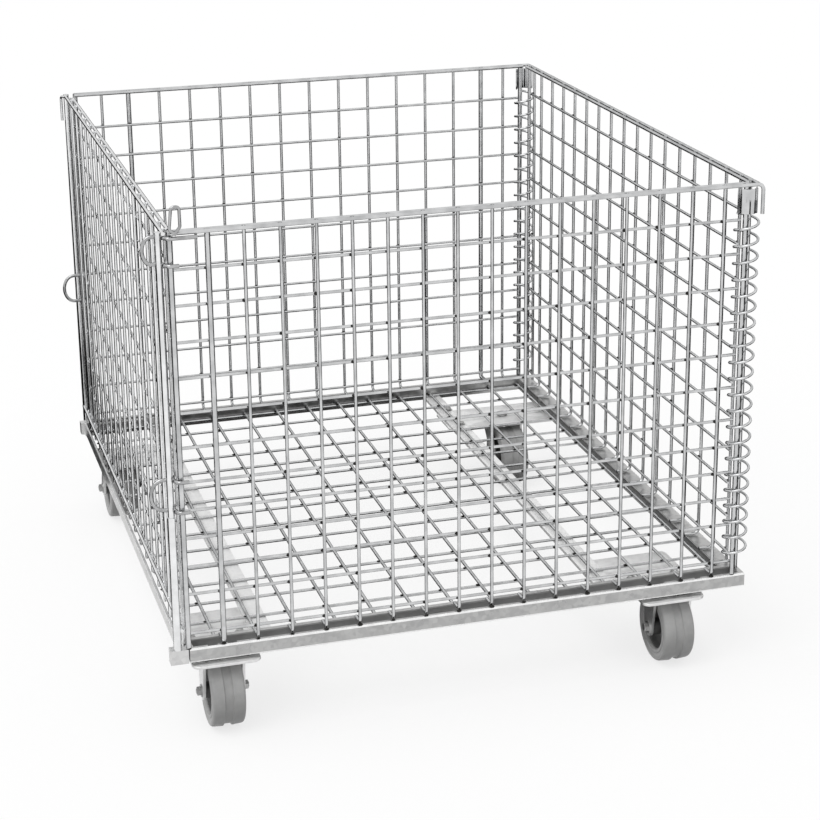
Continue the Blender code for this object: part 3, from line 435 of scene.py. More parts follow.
gateWall = {
    "place": lambda along, out, z: (-52 - out, along, z),
    "uprights": [(56 + 55 * k, "stout" if k == 1 else "upright") for k in range(17)],
    "foot": False,
    "plain": [16, 953],
    "posts": [(0, 12.0, 9.0, 0.5), (987, 3.0, 9.0, 0.5)],
    "levels": sideLevels,
    "levelSpan": (12, 957),
    "low": (20.5, 13, 956),
    "rails": [
        [(-3, railOut, railZ), (990, railOut, railZ)],
        [(13, -railOut, railZ), (956, -railOut, railZ)],
    ],
}


def wallRuns(wall):
    place = wall["place"]
    top = meshWire["top"]
    runs = []
    for along, kind in wall["uprights"]:
        size = meshWire[kind]
        out = (size - meshWire["upright"]) / 2
        low = size / 2 + footing["lift"] if wall["foot"] else meshWire["freeLow"]
        path = [(along, out, top), (along, out, low)]
        if wall["foot"]:
            path.append((along, out - footing["length"], low))
        runs.append(([place(*spot) for spot in path], size, footing["bend"]))
    for along in wall.get("plain", []):
        runs.append(([place(along, 0, top), place(along, 0, meshWire["plainLow"])], meshWire["upright"], 0))
    for along, out, size, low in wall["posts"]:
        runs.append(([place(along, out, top), place(along, out, low)], size, 0))
    inside = -(meshWire["upright"] + meshWire["cross"]) / 2 + meshWire["bite"]
    for z in wall["levels"]:
        ends = [place(along, inside, z) for along in wall["levelSpan"]]
        runs.append((ends, meshWire["cross"], 0))
    z, start, end = wall["low"]
    runs.append(([place(start, inside, z), place(end, inside, z)], meshWire["cross"], 0))
    for rail in wall["rails"]:
        runs.append(([place(*spot) for spot in rail], meshWire["rail"], meshWire["railBend"]))
    return runs


def wallWelds(wall, shift):
    place = wall["place"]
    alongs = [along for along, kind in wall["uprights"]] + wall.get("plain", [])
    first, last = wall["levelSpan"]
    spots = []
    for z in wall["levels"] + [wall["low"][0]]:
        for along in alongs:
            if first - 1 < along < last + 1:
                spots.append(place(along + shift[0], meshWire["weldOut"] + shift[1], z + shift[2]))
    return spots


gatePost, hingePost, gateRailX = (-64, 0), (-55, 987), -57.05
gateExtras = [
    ([(gateRailX, -3, 29.5), (gateRailX, 990, 29.5)], meshWire["rail"], 0),  # low outer tie
    ([(*gatePost, 0.3), (*gatePost, 203)], 12.0, 0),  # sleeve round the front post
    ([(gateRailX, 976, railZ), (-63.5, 990, 609), (-63.5, 990, railTail)], 4.6, 5.0),  # rail end turned down
]
sideBead, endBead = (2.0, 3.4, 2.3), (3.4, 2.0, 2.3)
wires("frontWires", wallRuns(frontWall), "base", "front_panel")
wires("backWires", wallRuns(backWall), "base", "back_panel")
wires("rightWires", wallRuns(rightWall), "base", "right_panel")
wires("gateWires", wallRuns(gateWall) + gateExtras, "gate", "gate_panel", finish=gateLitPlating)
# each bead sits a little off its crossing, toward the side its shadow falls on, so its near-black is painted
# shadow as well as weld burn
welds("frontWelds", wallWelds(frontWall, (-1.6, 0, 0.3)), endBead, 3, "base")
welds("backWelds", wallWelds(backWall, (-1.2, 0, 1.0)), endBead, 5, "base")
welds("rightWelds", wallWelds(rightWall, (1.2, 0, 1.0)), sideBead, 8, "base")
welds("gateWelds", wallWelds(gateWall, (1.4, 0, 0.3)), sideBead, 13, "gate")
print("wall wires and welds made")

floorGrid = {
    "depthXs": [-43] + [-2.6 + 60.4 * k for k in range(13)] + [779],
    "crossYs": [37 + 66 * k for k in range(15)],
    "depthZ": -8.8, "crossZ": -13.4, "ends": (34.6, 963.4), "sides": (-46, 782),
    "weldShift": (-3.0, -0.4), "weldZ": -11.6,
}


def floorRuns():
    runs = []
    for x in floorGrid["depthXs"]:
        runs.append(([(x, y, floorGrid["depthZ"]) for y in floorGrid["ends"]], meshWire["upright"], 0))
    for y in floorGrid["crossYs"]:
        runs.append(([(x, y, floorGrid["crossZ"]) for x in floorGrid["sides"]], meshWire["cross"], 0))
    return runs


# floor beads also sit off their crossings on the shaded side: painted shadow together with weld burn
floorShift = floorGrid["weldShift"]
floorSpots = [
    (x + floorShift[0], y + floorShift[1], floorGrid["weldZ"])
    for x in floorGrid["depthXs"] for y in floorGrid["crossYs"]
]
wires("floorWires", floorRuns(), "base", "floor_mesh")
welds("floorWelds", floorSpots, (2.9, 2.3, 1.5), 21, "base")
footSpots = [(along, -0.4, 1.2) for along, kind in frontWall["uprights"]]
footSpots += [(along, -2.0, low) for along, out, size, low in frontWall["posts"]]
welds("footWelds", footSpots, (3.6, 3.0, 1.5), 34, "base")
print("floor wires and welds made")

coilShape = {
    "x": 797, "ys": {"front": 8, "back": 979}, "low": 29.0, "pitch": 25.4, "turns": 21,
    "radius": 17.3, "wire": 4.0, "starts": {"front": 2.1, "back": 1.82},
}
for end, start in coilShape["starts"].items():
    values = {
        "Turns": float(coilShape["turns"]), "Coil Radius": coilShape["radius"] / 1000,
        "Height": coilShape["turns"] * coilShape["pitch"] / 1000, "Wire Radius": coilShape["wire"] / 2000,
        "Points Each Turn": 24, "Sides": 10, "Start": (0.0, 0.0, start), "Finish": wirePlating,
    }
    foot = pointMesh(end + "CoilFoot", [(coilShape["x"], coilShape["ys"][end], coilShape["low"])])
    dress(grow(end + "Coil", foot, cornerCoil, values), "base", "plated_wire", end + "_coil")
print("corner coils made")

clipShape = {
    "wire": 5.6, "bend": 3.0, "pass": 8.85, "tip": 26.0, "longTip": 52.0, "lead": 13, "heel": -8,
    "hook": 7.9, "hookTurns": [-20 + 15 * k for k in range(8)],
    "bow": -25.2, "shortBow": -20.5, "bowSteps": 14,
}


def clipRun(post, heights, side, topTip, bow):  # two arms hooked round a post and joined by a bow
    low, high = heights
    arm, heel, steps = (clipShape[key] for key in ("pass", "heel", "bowSteps"))
    hook = [(clipShape["lead"], -arm)]
    for angle in clipShape["hookTurns"]:
        turn = math.radians(angle)
        hook.append((clipShape["hook"] * math.cos(turn), clipShape["hook"] * math.sin(turn)))
    hook.append((heel, arm))
    middle = (low + high) / 2
    half = (high - low) / 2
    path = [(clipShape["tip"], -arm, low)] + [(x, y, low) for x, y in hook]
    for k in range(1, steps):
        turn = math.radians(-90 + 180 * k / steps)
        path.append((heel + (bow - heel) * math.cos(turn), arm, middle + half * math.sin(turn)))
    path += [(x, y, high) for x, y in reversed(hook)] + [(topTip, -arm, high)]
    points = [(post[0] + x, post[1] + y * side, z) for x, y, z in path]
    return points, clipShape["wire"], clipShape["bend"]


upperRun = clipRun(gatePost, (566, 604), 1, clipShape["longTip"], clipShape["shortBow"])
lowerRun = clipRun(gatePost, (211, 256), 1, clipShape["tip"], clipShape["bow"])
ringRun = clipRun(hingePost, (236, 283), -1, clipShape["tip"], clipShape["bow"])
wires("upperClip", [upperRun], "upper_clip", "gate_clip_upper", finish=clipPlating)
wires("lowerClip", [lowerRun], "lower_clip", "gate_clip_lower", finish=clipPlating)
wires("backRing", [ringRun], "base", "back_ring", finish=clipPlating)

hairpin = {
    "wire": 4.4, "y": -10.4, "bend": 4.4,
    "loop": [
        (-40.0, 609.5), (-49.6, 616.5), (-46.0, 647.4), (-35.0, 647.4),
        (-34.8, 620), (-41.5, 611.5), (-48, 609.2),
    ],
}


def hairpinRun():  # a narrow loop that stands on the front rail
    return [(x, hairpin["y"], z) for x, z in hairpin["loop"]], hairpin["wire"], hairpin["bend"]


wires("hairpinHandle", [hairpinRun()], "base", "hairpin_handle", finish=clipPlating)
print("clips, ring and hairpin made")


# Sheet and turned pieces: angles in degrees, distances in metres

edgeRules = {
    "sharp": 38, "foldSharp": 12, "capSharp": 50, "flat": 1, "corner": 30,
    "weld": 2e-6, "onPlane": 1e-4, "level": 1e-5, "longEdge": 0.02,
}


def addPiece(name, shape, finish, sharpAngle=edgeRules["sharp"]):
    bmesh.ops.recalc_face_normals(shape, faces=shape.faces)
    mesh = bpy.data.meshes.new(name)
    shape.to_mesh(mesh)
    shape.free()
    mesh.materials.append(finish)
    mesh.polygons.foreach_set("use_smooth", [True] * len(mesh.polygons))
    mesh.set_sharp_from_angle(angle=math.radians(sharpAngle))
    piece = bpy.data.objects.new(name, mesh)
    scene.collection.objects.link(piece)
    return piece


def roundCorners(corners, steps=5):  # corners of a closed outline are (u, v, radius)
    outline = []
    for k, (u, v, radius) in enumerate(corners):
        here = Vector((u, v))
        back = (Vector(corners[k - 1][:2]) - here).normalized()
        ahead = (Vector(corners[(k + 1) % len(corners)][:2]) - here).normalized()
        if not radius:
            outline.append(here)
            continue
        half = back.angle(ahead) / 2
        centre = here + (back + ahead).normalized() * radius / math.sin(half)
        start = here + back * radius / math.tan(half) - centre
        sweep = start.angle_signed(here + ahead * radius / math.tan(half) - centre)
        for step in range(steps + 1):
            outline.append(centre + Matrix.Rotation(-sweep * step / steps, 2) @ start)
    return outline


def turnedShape(outline, centre, steps):  # turns a closed (along, radius) outline round an axle along X
    shape = bmesh.new()
    rings = []
    for step in range(steps):
        turn = 2 * math.pi * step / steps
        rings.append([
            shape.verts.new(at(
                centre[0] + u, centre[1] + v * math.sin(turn), centre[2] - v * math.cos(turn),
            ))
            for u, v in outline
        ])
    for step in range(steps):
        here, after = rings[step], rings[(step + 1) % steps]
        for k in range(len(outline)):
            j = (k + 1) % len(outline)
            shape.faces.new((here[k], after[k], after[j], here[j]))
    return shape


def slabShape(outline, low, high, edge):  # a plate from a closed (x, y) outline with rounded edges
    shape = bmesh.new()
    bottom = shape.faces.new([shape.verts.new(at(u, v, low)) for u, v in outline])
    raised = bmesh.ops.extrude_face_region(shape, geom=[bottom])
    top = [item for item in raised["geom"] if isinstance(item, bmesh.types.BMVert)]
    bmesh.ops.translate(shape, verts=top, vec=(0, 0, (high - low) / 1000))
    rims = [side for side in shape.edges if abs(side.verts[0].co.z - side.verts[1].co.z) < 1e-7]
    bmesh.ops.bevel(shape, geom=rims, offset=edge / 1000, segments=3, profile=0.5, affect="EDGES")
    return shape


def cutPiece(mesh, boxes):  # takes boxes (x0, x1, y0, y1, z0, z1) out of a mesh
    cutter = bmesh.new()
    for x0, x1, y0, y1, z0, z1 in boxes:
        made = bmesh.ops.create_cube(cutter, size=1)
        low, high = at(x0, y0, z0), at(x1, y1, z1)
        spread = Matrix.Translation((low + high) / 2) @ Matrix.Diagonal((high - low).to_4d())
        bmesh.ops.transform(cutter, matrix=spread, verts=made["verts"])
    cutterMesh = bpy.data.meshes.new("cutter")
    cutter.to_mesh(cutterMesh)
    cutter.free()
    body = bpy.data.objects.new("cutBody", mesh)
    tool = bpy.data.objects.new("cutTool", cutterMesh)
    scene.collection.objects.link(body)
    scene.collection.objects.link(tool)
    cut = body.modifiers.new("cut", "BOOLEAN")
    cut.operation = "DIFFERENCE"
    cut.object = tool
    bpy.context.view_layer.update()
    graph = bpy.context.evaluated_depsgraph_get()
    done = bpy.data.meshes.new_from_object(body.evaluated_get(graph))
    bpy.data.objects.remove(body)
    bpy.data.objects.remove(tool)
    return done


def foldEdges(shape, axis, plane, radius):  # bends the long outer edges of a rail with a larger radius and gives these folds the third finish, a painted highlight
    long = [
        side for side in shape.edges
        if all(abs(vert.co[axis] - plane) < edgeRules["onPlane"] for vert in side.verts)
        and abs(side.verts[0].co.z - side.verts[1].co.z) < edgeRules["level"]
        and side.calc_length() > edgeRules["longEdge"]
    ]
    bmesh.ops.bevel(
        shape, geom=long, offset=radius / 1000, segments=4, profile=0.5, affect="EDGES",
        clamp_overlap=True, material=2,
    )


def markInside(shape, corners):  # faces within this box take the channel's painted shade
    low, high = at(*corners[0]), at(*corners[1])
    for face in shape.faces:
        centre = face.calc_center_median()
        if all(low[k] < centre[k] < high[k] for k in range(3)):
            face.material_index = 1


def softenedCopy(name, node, edge, finish, boxes=(), rail=None):  # a CAD solid with its edges rounded over
    shape = bmesh.new()
    shape.from_mesh(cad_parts[node].data)
    bmesh.ops.remove_doubles(shape, verts=shape.verts, dist=edgeRules["weld"])
    if boxes:
        mesh = bpy.data.meshes.new(name + "Blank")
        shape.to_mesh(mesh)
        shape.free()
        shape = bmesh.new()
        shape.from_mesh(cutPiece(mesh, boxes))
    flat = math.radians(edgeRules["flat"])
    bmesh.ops.dissolve_limit(shape, angle_limit=flat, verts=shape.verts, edges=shape.edges)
    if rail:
        foldEdges(shape, *rail["fold"])
    corner = math.radians(edgeRules["corner"])
    corners = [
        side for side in shape.edges if len(side.link_faces) == 2 and side.calc_face_angle() > corner
    ]
    bmesh.ops.bevel(
        shape, geom=corners, offset=edge / 1000, segments=2, profile=0.5, affect="EDGES", clamp_overlap=True,
    )
    if rail:
        markInside(shape, rail["inside"])
    piece = addPiece(name, shape, finish, edgeRules["foldSharp" if rail else "sharp"])
    if rail:
        # second finish: the channel's painted shade
        piece.data.materials.append(channelShadeZinc)
        # third finish: the folds' painted highlight
        piece.data.materials.append(foldHighlightZinc)
    return piece


softEdge = {"sheet": 0.8, "pin": 0.7}
notchSpans = [(-20, -5.5), (8.5, 22), (660, 681), (731, 740)]
railSeam = (-50, -47.4, -5, 35, -23, 1)  # where the front rail meets the left rail's corner block
frontCuts = [(start, end, -0.4, 4.2, -4, 1) for start, end in notchSpans] + [railSeam]
rails = {
    "frontRail": {
        "node": "front_rail", "finish": railZinc, "cuts": frontCuts,
        "inside": ((-46, -2, -19.5), (809, 32, -1.5)), "fold": (1, at(0, -4, 0).y, 2.6),
    },
    "backRail": {
        "node": "back_rail", "finish": railZinc, "cuts": (),
        "inside": ((-46, 967, -19.5), (809, 991, -1.5)), "fold": (1, at(0, 993, 0).y, 2.6),
    },
    "leftRail": {
        "node": "left_rail", "finish": leftLitZinc, "cuts": (),
        "inside": ((-57, 14, -19.5), (-40, 975, -1.5)), "fold": (0, at(-59, 0, 0).x, 2.2),
    },
    "rightRail": {
        "node": "right_rail", "finish": railZinc, "cuts": (),
        "inside": ((780, 36, -19.5), (809, 963, -1.5)), "fold": (0, at(811, 0, 0).x, 2.2),
    },
}
for name, rail in rails.items():
    piece = softenedCopy(name, rail["node"], softEdge["sheet"], rail["finish"], rail["cuts"], rail)
    dress(piece, "base", "zinc_sheet", rail["node"])
sheetFront = [(-120, 900, -20, 3, -27, -21)]  # the mount sheets end behind the rail's face
for name, node, cuts in (
    ("leftBar", "left_bar", ()), ("rightBar", "right_bar", ()),
    ("leftMountSheet", "mount_sheet_fl", sheetFront), ("rightMountSheet", "mount_sheet_fr", sheetFront),
    ("leftSwivelPlate", "swivel_plate_bl", ()), ("rightSwivelPlate", "swivel_plate_br", ()),
):
    dress(softenedCopy(name, node, softEdge["sheet"], plateZinc, cuts), "base", "zinc_sheet", node)
for name, node in (("leftKingpin", "kingpin_bl"), ("rightKingpin", "kingpin_br")):
    dress(softenedCopy(name, node, softEdge["pin"], nutZinc), "base", "zinc_hardware", node)
print("rails, bars and plates made")

capShape = {
    "x": 796, "ys": {"front": 7, "back": 980}, "radius": 15.25, "sheet": 1.4, "flutes": 5, "depth": 1.6,
    "low": 567, "high": 604, "steps": 60, "edge": 0.45,
}


def capPiece(end, side):  # a fluted half round of sheet
    steps = capShape["steps"]
    middle = capShape["ys"][end]
    outer, inner = [], []
    for step in range(steps + 1):
        share = step / steps
        turn = math.pi + math.pi * share
        dip = capShape["depth"] * (0.5 - 0.5 * math.cos(2 * math.pi * capShape["flutes"] * share))
        for ring, reach in ((outer, capShape["radius"]), (inner, capShape["radius"] - capShape["sheet"])):
            radius = reach - dip
            ring.append((capShape["x"] + radius * math.cos(turn), middle + side * radius * math.sin(turn)))
    shape = slabShape(outer + inner[::-1], capShape["low"], capShape["high"], capShape["edge"])
    return addPiece(end + "CoilCap", shape, wirePlating, edgeRules["capSharp"])


dress(capPiece("front", 1), "base", "zinc_sheet", "front_coil_cap")
dress(capPiece("back", -1), "base", "zinc_sheet", "back_coil_cap")
print("coil caps made")


# Casters

caster = {
    "wheelZ": -89.0, "wheelSteps": 72, "legIn": 27.0, "legSheet": 4.0,
    "tip": 14.0, "tipHalf": 13.2, "tipSteps": 7, "tipSpan": 7.6,
    "plateHalf": (50, 51), "plateZ": (-30.1, -25.6), "plateCorner": 12.0, "plateEdge": 1.0,
    "crownZ": (-33.4, -30.1), "crownCorner": 8, "crownEdge": 0.9, "crownReach": (27, 30),
}
bracketLeg = {
    "steps": 8, "flare": 17.5, "flarePower": 1.3, "flareDrop": 15, "neck": 14,
    "topHalf": 23, "flareTaper": 2, "neckHalf": 21, "taper": 7.8, "taperPower": 0.85,
}
forkLeg = {"steps": 10, "shift": 4, "topHalf": 22, "taper": 8.8}
tyreHalf = [
    (21.0, 35.0, 0.6), (24.2, 36.6, 1.0), (24.2, 40.2, 1.0), (22.9, 41.4, 0.6), (25.0, 47.0, 3.5),
    (23.6, 53.4, 4.5), (7.0, 54.5, 0.6), (5.4, 51.6, 0.6),
]
hubHalf = [
    (26.5, 5.4, 0.0), (26.5, 11.6, 1.2), (14.0, 13.5, 1.5), (9.5, 28.0, 4.0), (18.5, 32.6, 2.0), (20.0, 34.7, 0.4),
]


def wheelPieces(tag, x, y, body):
    centre = (x, y, caster["wheelZ"])
    for label, half, finish in (("tyre", tyreHalf, greyRubber), ("hub", hubHalf, hubPlastic)):
        outline = roundCorners(half + [(-u, v, radius) for u, v, radius in reversed(half)])
        shape = turnedShape(outline, centre, caster["wheelSteps"])
        slot = "wheel_" + label
        dress(addPiece(label + "_" + tag, shape, finish), body, slot, slot + "_" + tag)


def legShape(shape, x, side, rows, thick):  # rows are (z, y middle, half width, splay)
    sides = []
    for reach in (0, thick):
        grid = []
        for z, middle, half, splay in rows:
            along = x + side * (caster["legIn"] + splay + reach)
            grid.append([
                shape.verts.new(at(along, middle + half * share, z)) for share in (-1, -0.5, 0, 0.5, 1)
            ])
        sides.append(grid)
    near, far = sides
    for r in range(len(rows) - 1):
        for c in range(4):
            shape.faces.new((near[r][c], near[r][c + 1], near[r + 1][c + 1], near[r + 1][c]))
            shape.faces.new((far[r][c], far[r + 1][c], far[r + 1][c + 1], far[r][c + 1]))
        for c in (0, 4):
            shape.faces.new((near[r][c], near[r + 1][c], far[r + 1][c], far[r][c]))
    for r in (0, len(rows) - 1):
        for c in range(4):
            shape.faces.new((near[r][c], near[r][c + 1], far[r][c + 1], far[r][c]))


def tipRows(axleY):  # the round end of a leg below its axle
    rows = []
    for step in range(1, caster["tipSteps"] + 1):
        turn = math.radians(90 * step / caster["tipSpan"])
        z = caster["wheelZ"] - caster["tip"] * math.sin(turn)
        rows.append((z, axleY, caster["tipHalf"] * math.cos(turn), 0.0))
    return rows


def bracketPiece(tag, x, y, plateShift):
    halfX, halfY = caster["plateHalf"]
    low, high = caster["plateZ"]
    corner = caster["plateCorner"]
    left, right = x + plateShift - halfX, x + plateShift + halfX
    outline = roundCorners([
        (left, y - halfY, corner), (right, y - halfY, corner),
        (right, y + halfY, corner), (left, y + halfY, corner),
    ])
    shape = slabShape(outline, low, high, caster["plateEdge"])
    leg = bracketLeg
    for side in (-1, 1):
        rows = []
        for step in range(leg["steps"] + 1):  # the flare under the plate
            share = step / leg["steps"]
            ease = (1 - math.sin(math.pi / 2 * share)) ** leg["flarePower"]
            flare = (leg["flare"] + side * plateShift) * ease
            rows.append((low + 1 - leg["flareDrop"] * share, y, leg["topHalf"] - leg["flareTaper"] * share, flare))
        for step in range(1, leg["steps"] + 1):  # the leg down to its axle
            share = step / leg["steps"]
            z = low - leg["neck"] + (caster["wheelZ"] - low + leg["neck"]) * share
            rows.append((z, y, leg["neckHalf"] - leg["taper"] * share ** leg["taperPower"], 0.0))
        legShape(shape, x, side, rows + tipRows(y), caster["legSheet"])
    return dress(addPiece("bracket_" + tag, shape, sheetZinc), "base", "zinc_sheet", "bracket_" + tag)


def forkPiece(tag, x, y, trail, body):
    low, high = caster["crownZ"]
    reach = caster["legIn"] + caster["legSheet"]
    way = 1 if trail > 0 else -1
    corner = caster["crownCorner"]
    lead, tail = caster["crownReach"]
    near, far = sorted((y - way * lead, y + way * tail))
    outline = roundCorners([
        (x - reach, near, corner), (x + reach, near, corner), (x + reach, far, corner), (x - reach, far, corner),
    ])
    shape = slabShape(outline, low, high, caster["crownEdge"])
    shift = way * forkLeg["shift"]
    for side in (-1, 1):
        rows = []
        for step in range(forkLeg["steps"] + 1):  # the leg swings back to the axle
            share = step / forkLeg["steps"]
            ease = share * share * (3 - 2 * share)
            z = low + 1 + (caster["wheelZ"] - low - 1) * share
            middle = y + shift + (trail - shift) * ease
            rows.append((z, middle, forkLeg["topHalf"] - forkLeg["taper"] * share, 0.0))
        legShape(shape, x, side, rows + tipRows(y + trail), caster["legSheet"])
    return dress(addPiece("fork_" + tag, shape, sheetZinc), body, "zinc_sheet", "fork_" + tag)


casters = {
    "fl": {"x": 5, "y": 38, "axleY": 38, "body": "wheel_front_left", "plateShift": 0.0},
    "fr": {"x": 703, "y": 38, "axleY": 38, "body": "wheel_front_right", "plateShift": -9.0},
    "bl": {"x": -15, "y": 838, "axleY": 871, "body": "wheel_back_left", "carrier": "swivel_back_left"},
    "br": {"x": 706, "y": 838, "axleY": 805, "body": "wheel_back_right", "carrier": "swivel_back_right"},
}
for tag, spot in casters.items():
    wheelPieces(tag, spot["x"], spot["axleY"], spot["body"])
    if tag in ("fl", "fr"):
        bracketPiece(tag, spot["x"], spot["y"], spot["plateShift"])
    else:
        forkPiece(tag, spot["x"], spot["y"], spot["axleY"] - spot["y"], spot["carrier"])


nut = {"stud": 1.05, "axle": 7.4, "plate": 5.6, "slim": 3.4, "slimLeftOf": -40}


def fasteners(name, rows, body, *nodes):  # rows are (point, turn, nut radius)
    mesh = pointMesh(name, [row[0] for row in rows])
    turns = [value for row in rows for value in row[1]]
    mesh.attributes.new("nutTurn", "FLOAT_VECTOR", "POINT").data.foreach_set("vector", turns)
    radii = [row[2] / 1000 for row in rows]
    mesh.attributes.new("nutRadius", "FLOAT", "POINT").data.foreach_set("value", radii)
    piece = grow(name, mesh, hexFasteners, {"Stud Length": nut["stud"], "Finish": nutZinc})
    return dress(piece, body, "zinc_hardware", *nodes)


faceOut = {
    "left": (0, -math.pi / 2, 0), "right": (0, math.pi / 2, 0), "down": (math.pi, 0, 0.4), "up": (0, 0, 0.3),
}


def axleRows(tag):
    x, y = casters[tag]["x"], casters[tag]["axleY"]
    reach = caster["legIn"] + caster["legSheet"] + 0.1
    return [
        ((x - reach, y, caster["wheelZ"]), faceOut["left"], nut["axle"]),
        ((x + reach, y, caster["wheelZ"]), faceOut["right"], nut["axle"]),
    ]


def plateRows(spots, nutZs, headZ):
    rows = []
    for (x, y), nutZ in zip(spots, nutZs):
        size = nut["slim" if x < nut["slimLeftOf"] else "plate"]  # slim under the gate's edge
        rows.append(((x, y, nutZ), faceOut["up"], size))
        rows.append(((x, y, headZ), faceOut["down"], nut["plate"]))
    return rows


frontBolts = {"halfX": 36, "ys": (8, 76), "nutZs": (-18.9, -18.9, -22.2, -22.2), "headZ": -30.2}
backBolts = {
    "ys": (797, 878), "headZ": -25.9,
    "bl": {"xs": (-46.5, 71), "nutZs": (-18.9, -15.9)}, "br": {"xs": (613, 798), "nutZs": (-15.9, -18.9)},
}
baseRows = axleRows("fl") + axleRows("fr")
boltNodes = ["axle_fl", "axle_fr"]
for tag in ("fl", "fr"):
    x = casters[tag]["x"] + casters[tag]["plateShift"]
    spots = [(x + side * frontBolts["halfX"], y) for y in frontBolts["ys"] for side in (-1, 1)]
    baseRows += plateRows(spots, frontBolts["nutZs"], frontBolts["headZ"])
for tag in ("bl", "br"):
    spots = [(x, y) for y in backBolts["ys"] for x in backBolts[tag]["xs"]]
    baseRows += plateRows(spots, backBolts[tag]["nutZs"] * 2, backBolts["headZ"])
for tag in casters:
    boltNodes += ["caster_bolt_" + tag + "_" + str(k) for k in (1, 2, 3, 4)]
fasteners("baseFasteners", baseRows, "base", *boltNodes)
fasteners("leftAxleNuts", axleRows("bl"), "swivel_back_left", "axle_bl")
fasteners("rightAxleNuts", axleRows("br"), "swivel_back_right", "axle_br")
print("casters and fasteners made")


# Stage: pale floor, soft light, the photograph's camera

stageLook = {
    "floorAlbedo": 0.26, "floorGlow": 0.74, "floorHalf": 12, "ambient": 0.70,
    "sun": 1.1, "sunAngle": 50, "sunTurn": (10, -28), "cardTone": 0.01,
}
photoCamera = {
    "location": (-0.855165, -3.16599, 1.47055), "azimuth": 0.2826, "elevation": 0.3127, "roll": -0.0114,
    "focal": 2091.3, "principalY": 340.0, "frame": 820, "sensor": 36,
}


def seenRays(tree):  # 1 for camera, glossy and transmission rays
    rays = tree.nodes.new("ShaderNodeLightPath")
    seen = rays.outputs["Is Camera Ray"]
    for label in ("Is Glossy Ray", "Is Transmission Ray"):
        either = addNode(tree, "ShaderNodeMath", {0: seen, 1: rays.outputs[label]}, operation="MAXIMUM")
        seen = either.outputs[0]
    return seen


def makeWorld():
    world = bpy.data.worlds.new("studioWhite")
    world.use_nodes = True
    tree = world.node_tree
    sky = tree.nodes["Background"]
    sky.inputs["Color"].default_value = (1, 1, 1, 1)
    level = tree.nodes.new("ShaderNodeMapRange")
    level.inputs["To Min"].default_value = stageLook["ambient"]
    level.inputs["To Max"].default_value = 1.0
    tree.links.new(seenRays(tree), level.inputs["Value"])
    tree.links.new(level.outputs["Result"], sky.inputs["Strength"])
    scene.world = world


def makeFloor():
    material = bpy.data.materials.new("paleFloor")
    material.use_nodes = True
    tree = material.node_tree
    tree.nodes.remove(tree.nodes["Principled BSDF"])
    matte = tree.nodes.new("ShaderNodeBsdfDiffuse")
    albedo = stageLook["floorAlbedo"]
    matte.inputs["Color"].default_value = (albedo, albedo, albedo, 1)
    glow = tree.nodes.new("ShaderNodeEmission")
    level = tree.nodes.new("ShaderNodeMath")
    level.operation = "MULTIPLY"
    level.inputs[1].default_value = stageLook["floorGlow"]
    both = tree.nodes.new("ShaderNodeAddShader")
    tree.links.new(seenRays(tree), level.inputs[0])
    tree.links.new(level.outputs[0], glow.inputs["Strength"])
    tree.links.new(matte.outputs[0], both.inputs[0])
    tree.links.new(glow.outputs[0], both.inputs[1])
    tree.links.new(both.outputs[0], tree.nodes["Material Output"].inputs["Surface"])
    shape = bmesh.new()
    bmesh.ops.create_grid(shape, x_segments=1, y_segments=1, size=stageLook["floorHalf"])
    mesh = bpy.data.meshes.new("paleFloor")
    shape.to_mesh(mesh)
    shape.free()
    mesh.materials.append(material)
    floor = bpy.data.objects.new("paleFloor", mesh)
    scene.collection.objects.link(floor)


def makeCardFinish():
    material = bpy.data.materials.new("darkCard")
    material.use_nodes = True
    shader = material.node_tree.nodes["Principled BSDF"]
    tone = stageLook["cardTone"]
    shader.inputs["Base Color"].default_value = (tone, tone, tone, 1)
    shader.inputs["Specular IOR Level"].default_value = 0.0
    return material


def makeCard(name, corners, material):  # only reflections see it
    mesh = bpy.data.meshes.new(name)
    mesh.from_pydata(corners, [], [(0, 1, 2, 3)])
    mesh.materials.append(material)
    card = bpy.data.objects.new(name, mesh)
    scene.collection.objects.link(card)
    card.visible_camera = False
    card.visible_diffuse = False
    card.visible_shadow = False
    card.visible_transmission = False


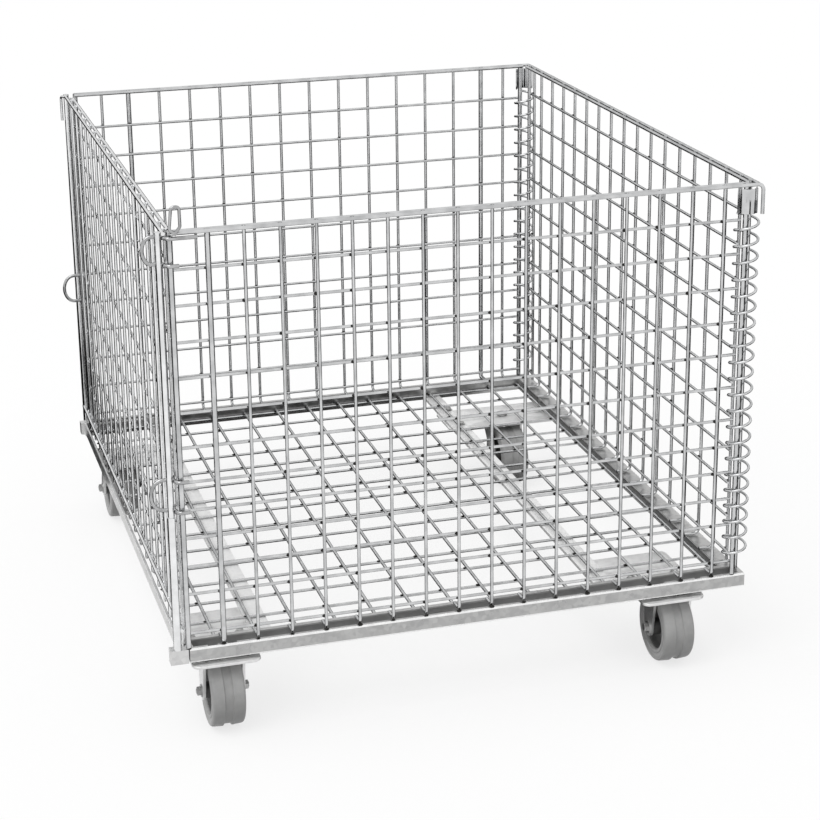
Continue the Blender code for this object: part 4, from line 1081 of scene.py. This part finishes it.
def makeLights():
    sunData = bpy.data.lights.new("softKey", "SUN")
    sunData.energy = stageLook["sun"]
    sunData.angle = math.radians(stageLook["sunAngle"])
    sun = bpy.data.objects.new("softKey", sunData)
    sun.rotation_euler = (*[math.radians(turn) for turn in stageLook["sunTurn"]], 0)
    scene.collection.objects.link(sun)


def makeCamera():
    data = bpy.data.cameras.new("photoCamera")
    size = photoCamera["frame"]
    data.sensor_width = photoCamera["sensor"]
    data.lens = photoCamera["sensor"] * photoCamera["focal"] / size
    data.shift_y = (photoCamera["principalY"] - size / 2) / size
    az, el, roll = (photoCamera[key] for key in ("azimuth", "elevation", "roll"))
    ahead = Vector((math.sin(az) * math.cos(el), math.cos(az) * math.cos(el), -math.sin(el)))
    level = Vector((math.cos(az), -math.sin(az), 0))
    upright = level.cross(ahead)
    right = math.cos(roll) * level + math.sin(roll) * upright
    up = math.cos(roll) * upright - math.sin(roll) * level
    camera = bpy.data.objects.new("photoCamera", data)
    turn = Matrix((right, up, -ahead)).transposed().to_4x4()
    camera.matrix_world = Matrix.Translation(photoCamera["location"]) @ turn
    scene.collection.objects.link(camera)
    scene.camera = camera


makeWorld()
makeFloor()
makeLights()
makeCamera()
cards = {  # dark cards on the floor and one upright far behind the bin, in metres
    "underCard": [(-0.37, -0.40, 0.004), (0.40, -0.40, 0.004), (0.40, 0.50, 0.004), (-0.37, 0.50, 0.004)],
    "behindCard": [(-5.0, 0.52, 0.003), (6.0, 0.52, 0.003), (6.0, 8.0, 0.003), (-5.0, 8.0, 0.003)],
    "horizonCard": [(-5.0, 8.0, 0.003), (6.0, 8.0, 0.003), (6.0, 8.0, 1.5), (-5.0, 8.0, 1.5)],
    "leftCard": [(-3.2, -0.9, 0.003), (-0.62, -0.3, 0.003), (-0.62, 0.56, 0.003), (-3.2, 0.56, 0.003)],
    "rightCard": [(0.62, -0.6, 0.003), (3.0, -3.0, 0.003), (3.4, 0.56, 0.003), (0.62, 0.56, 0.003)],
}
darkCard = makeCardFinish()
for name, corners in cards.items():
    makeCard(name, corners, darkCard)
print("stage set")
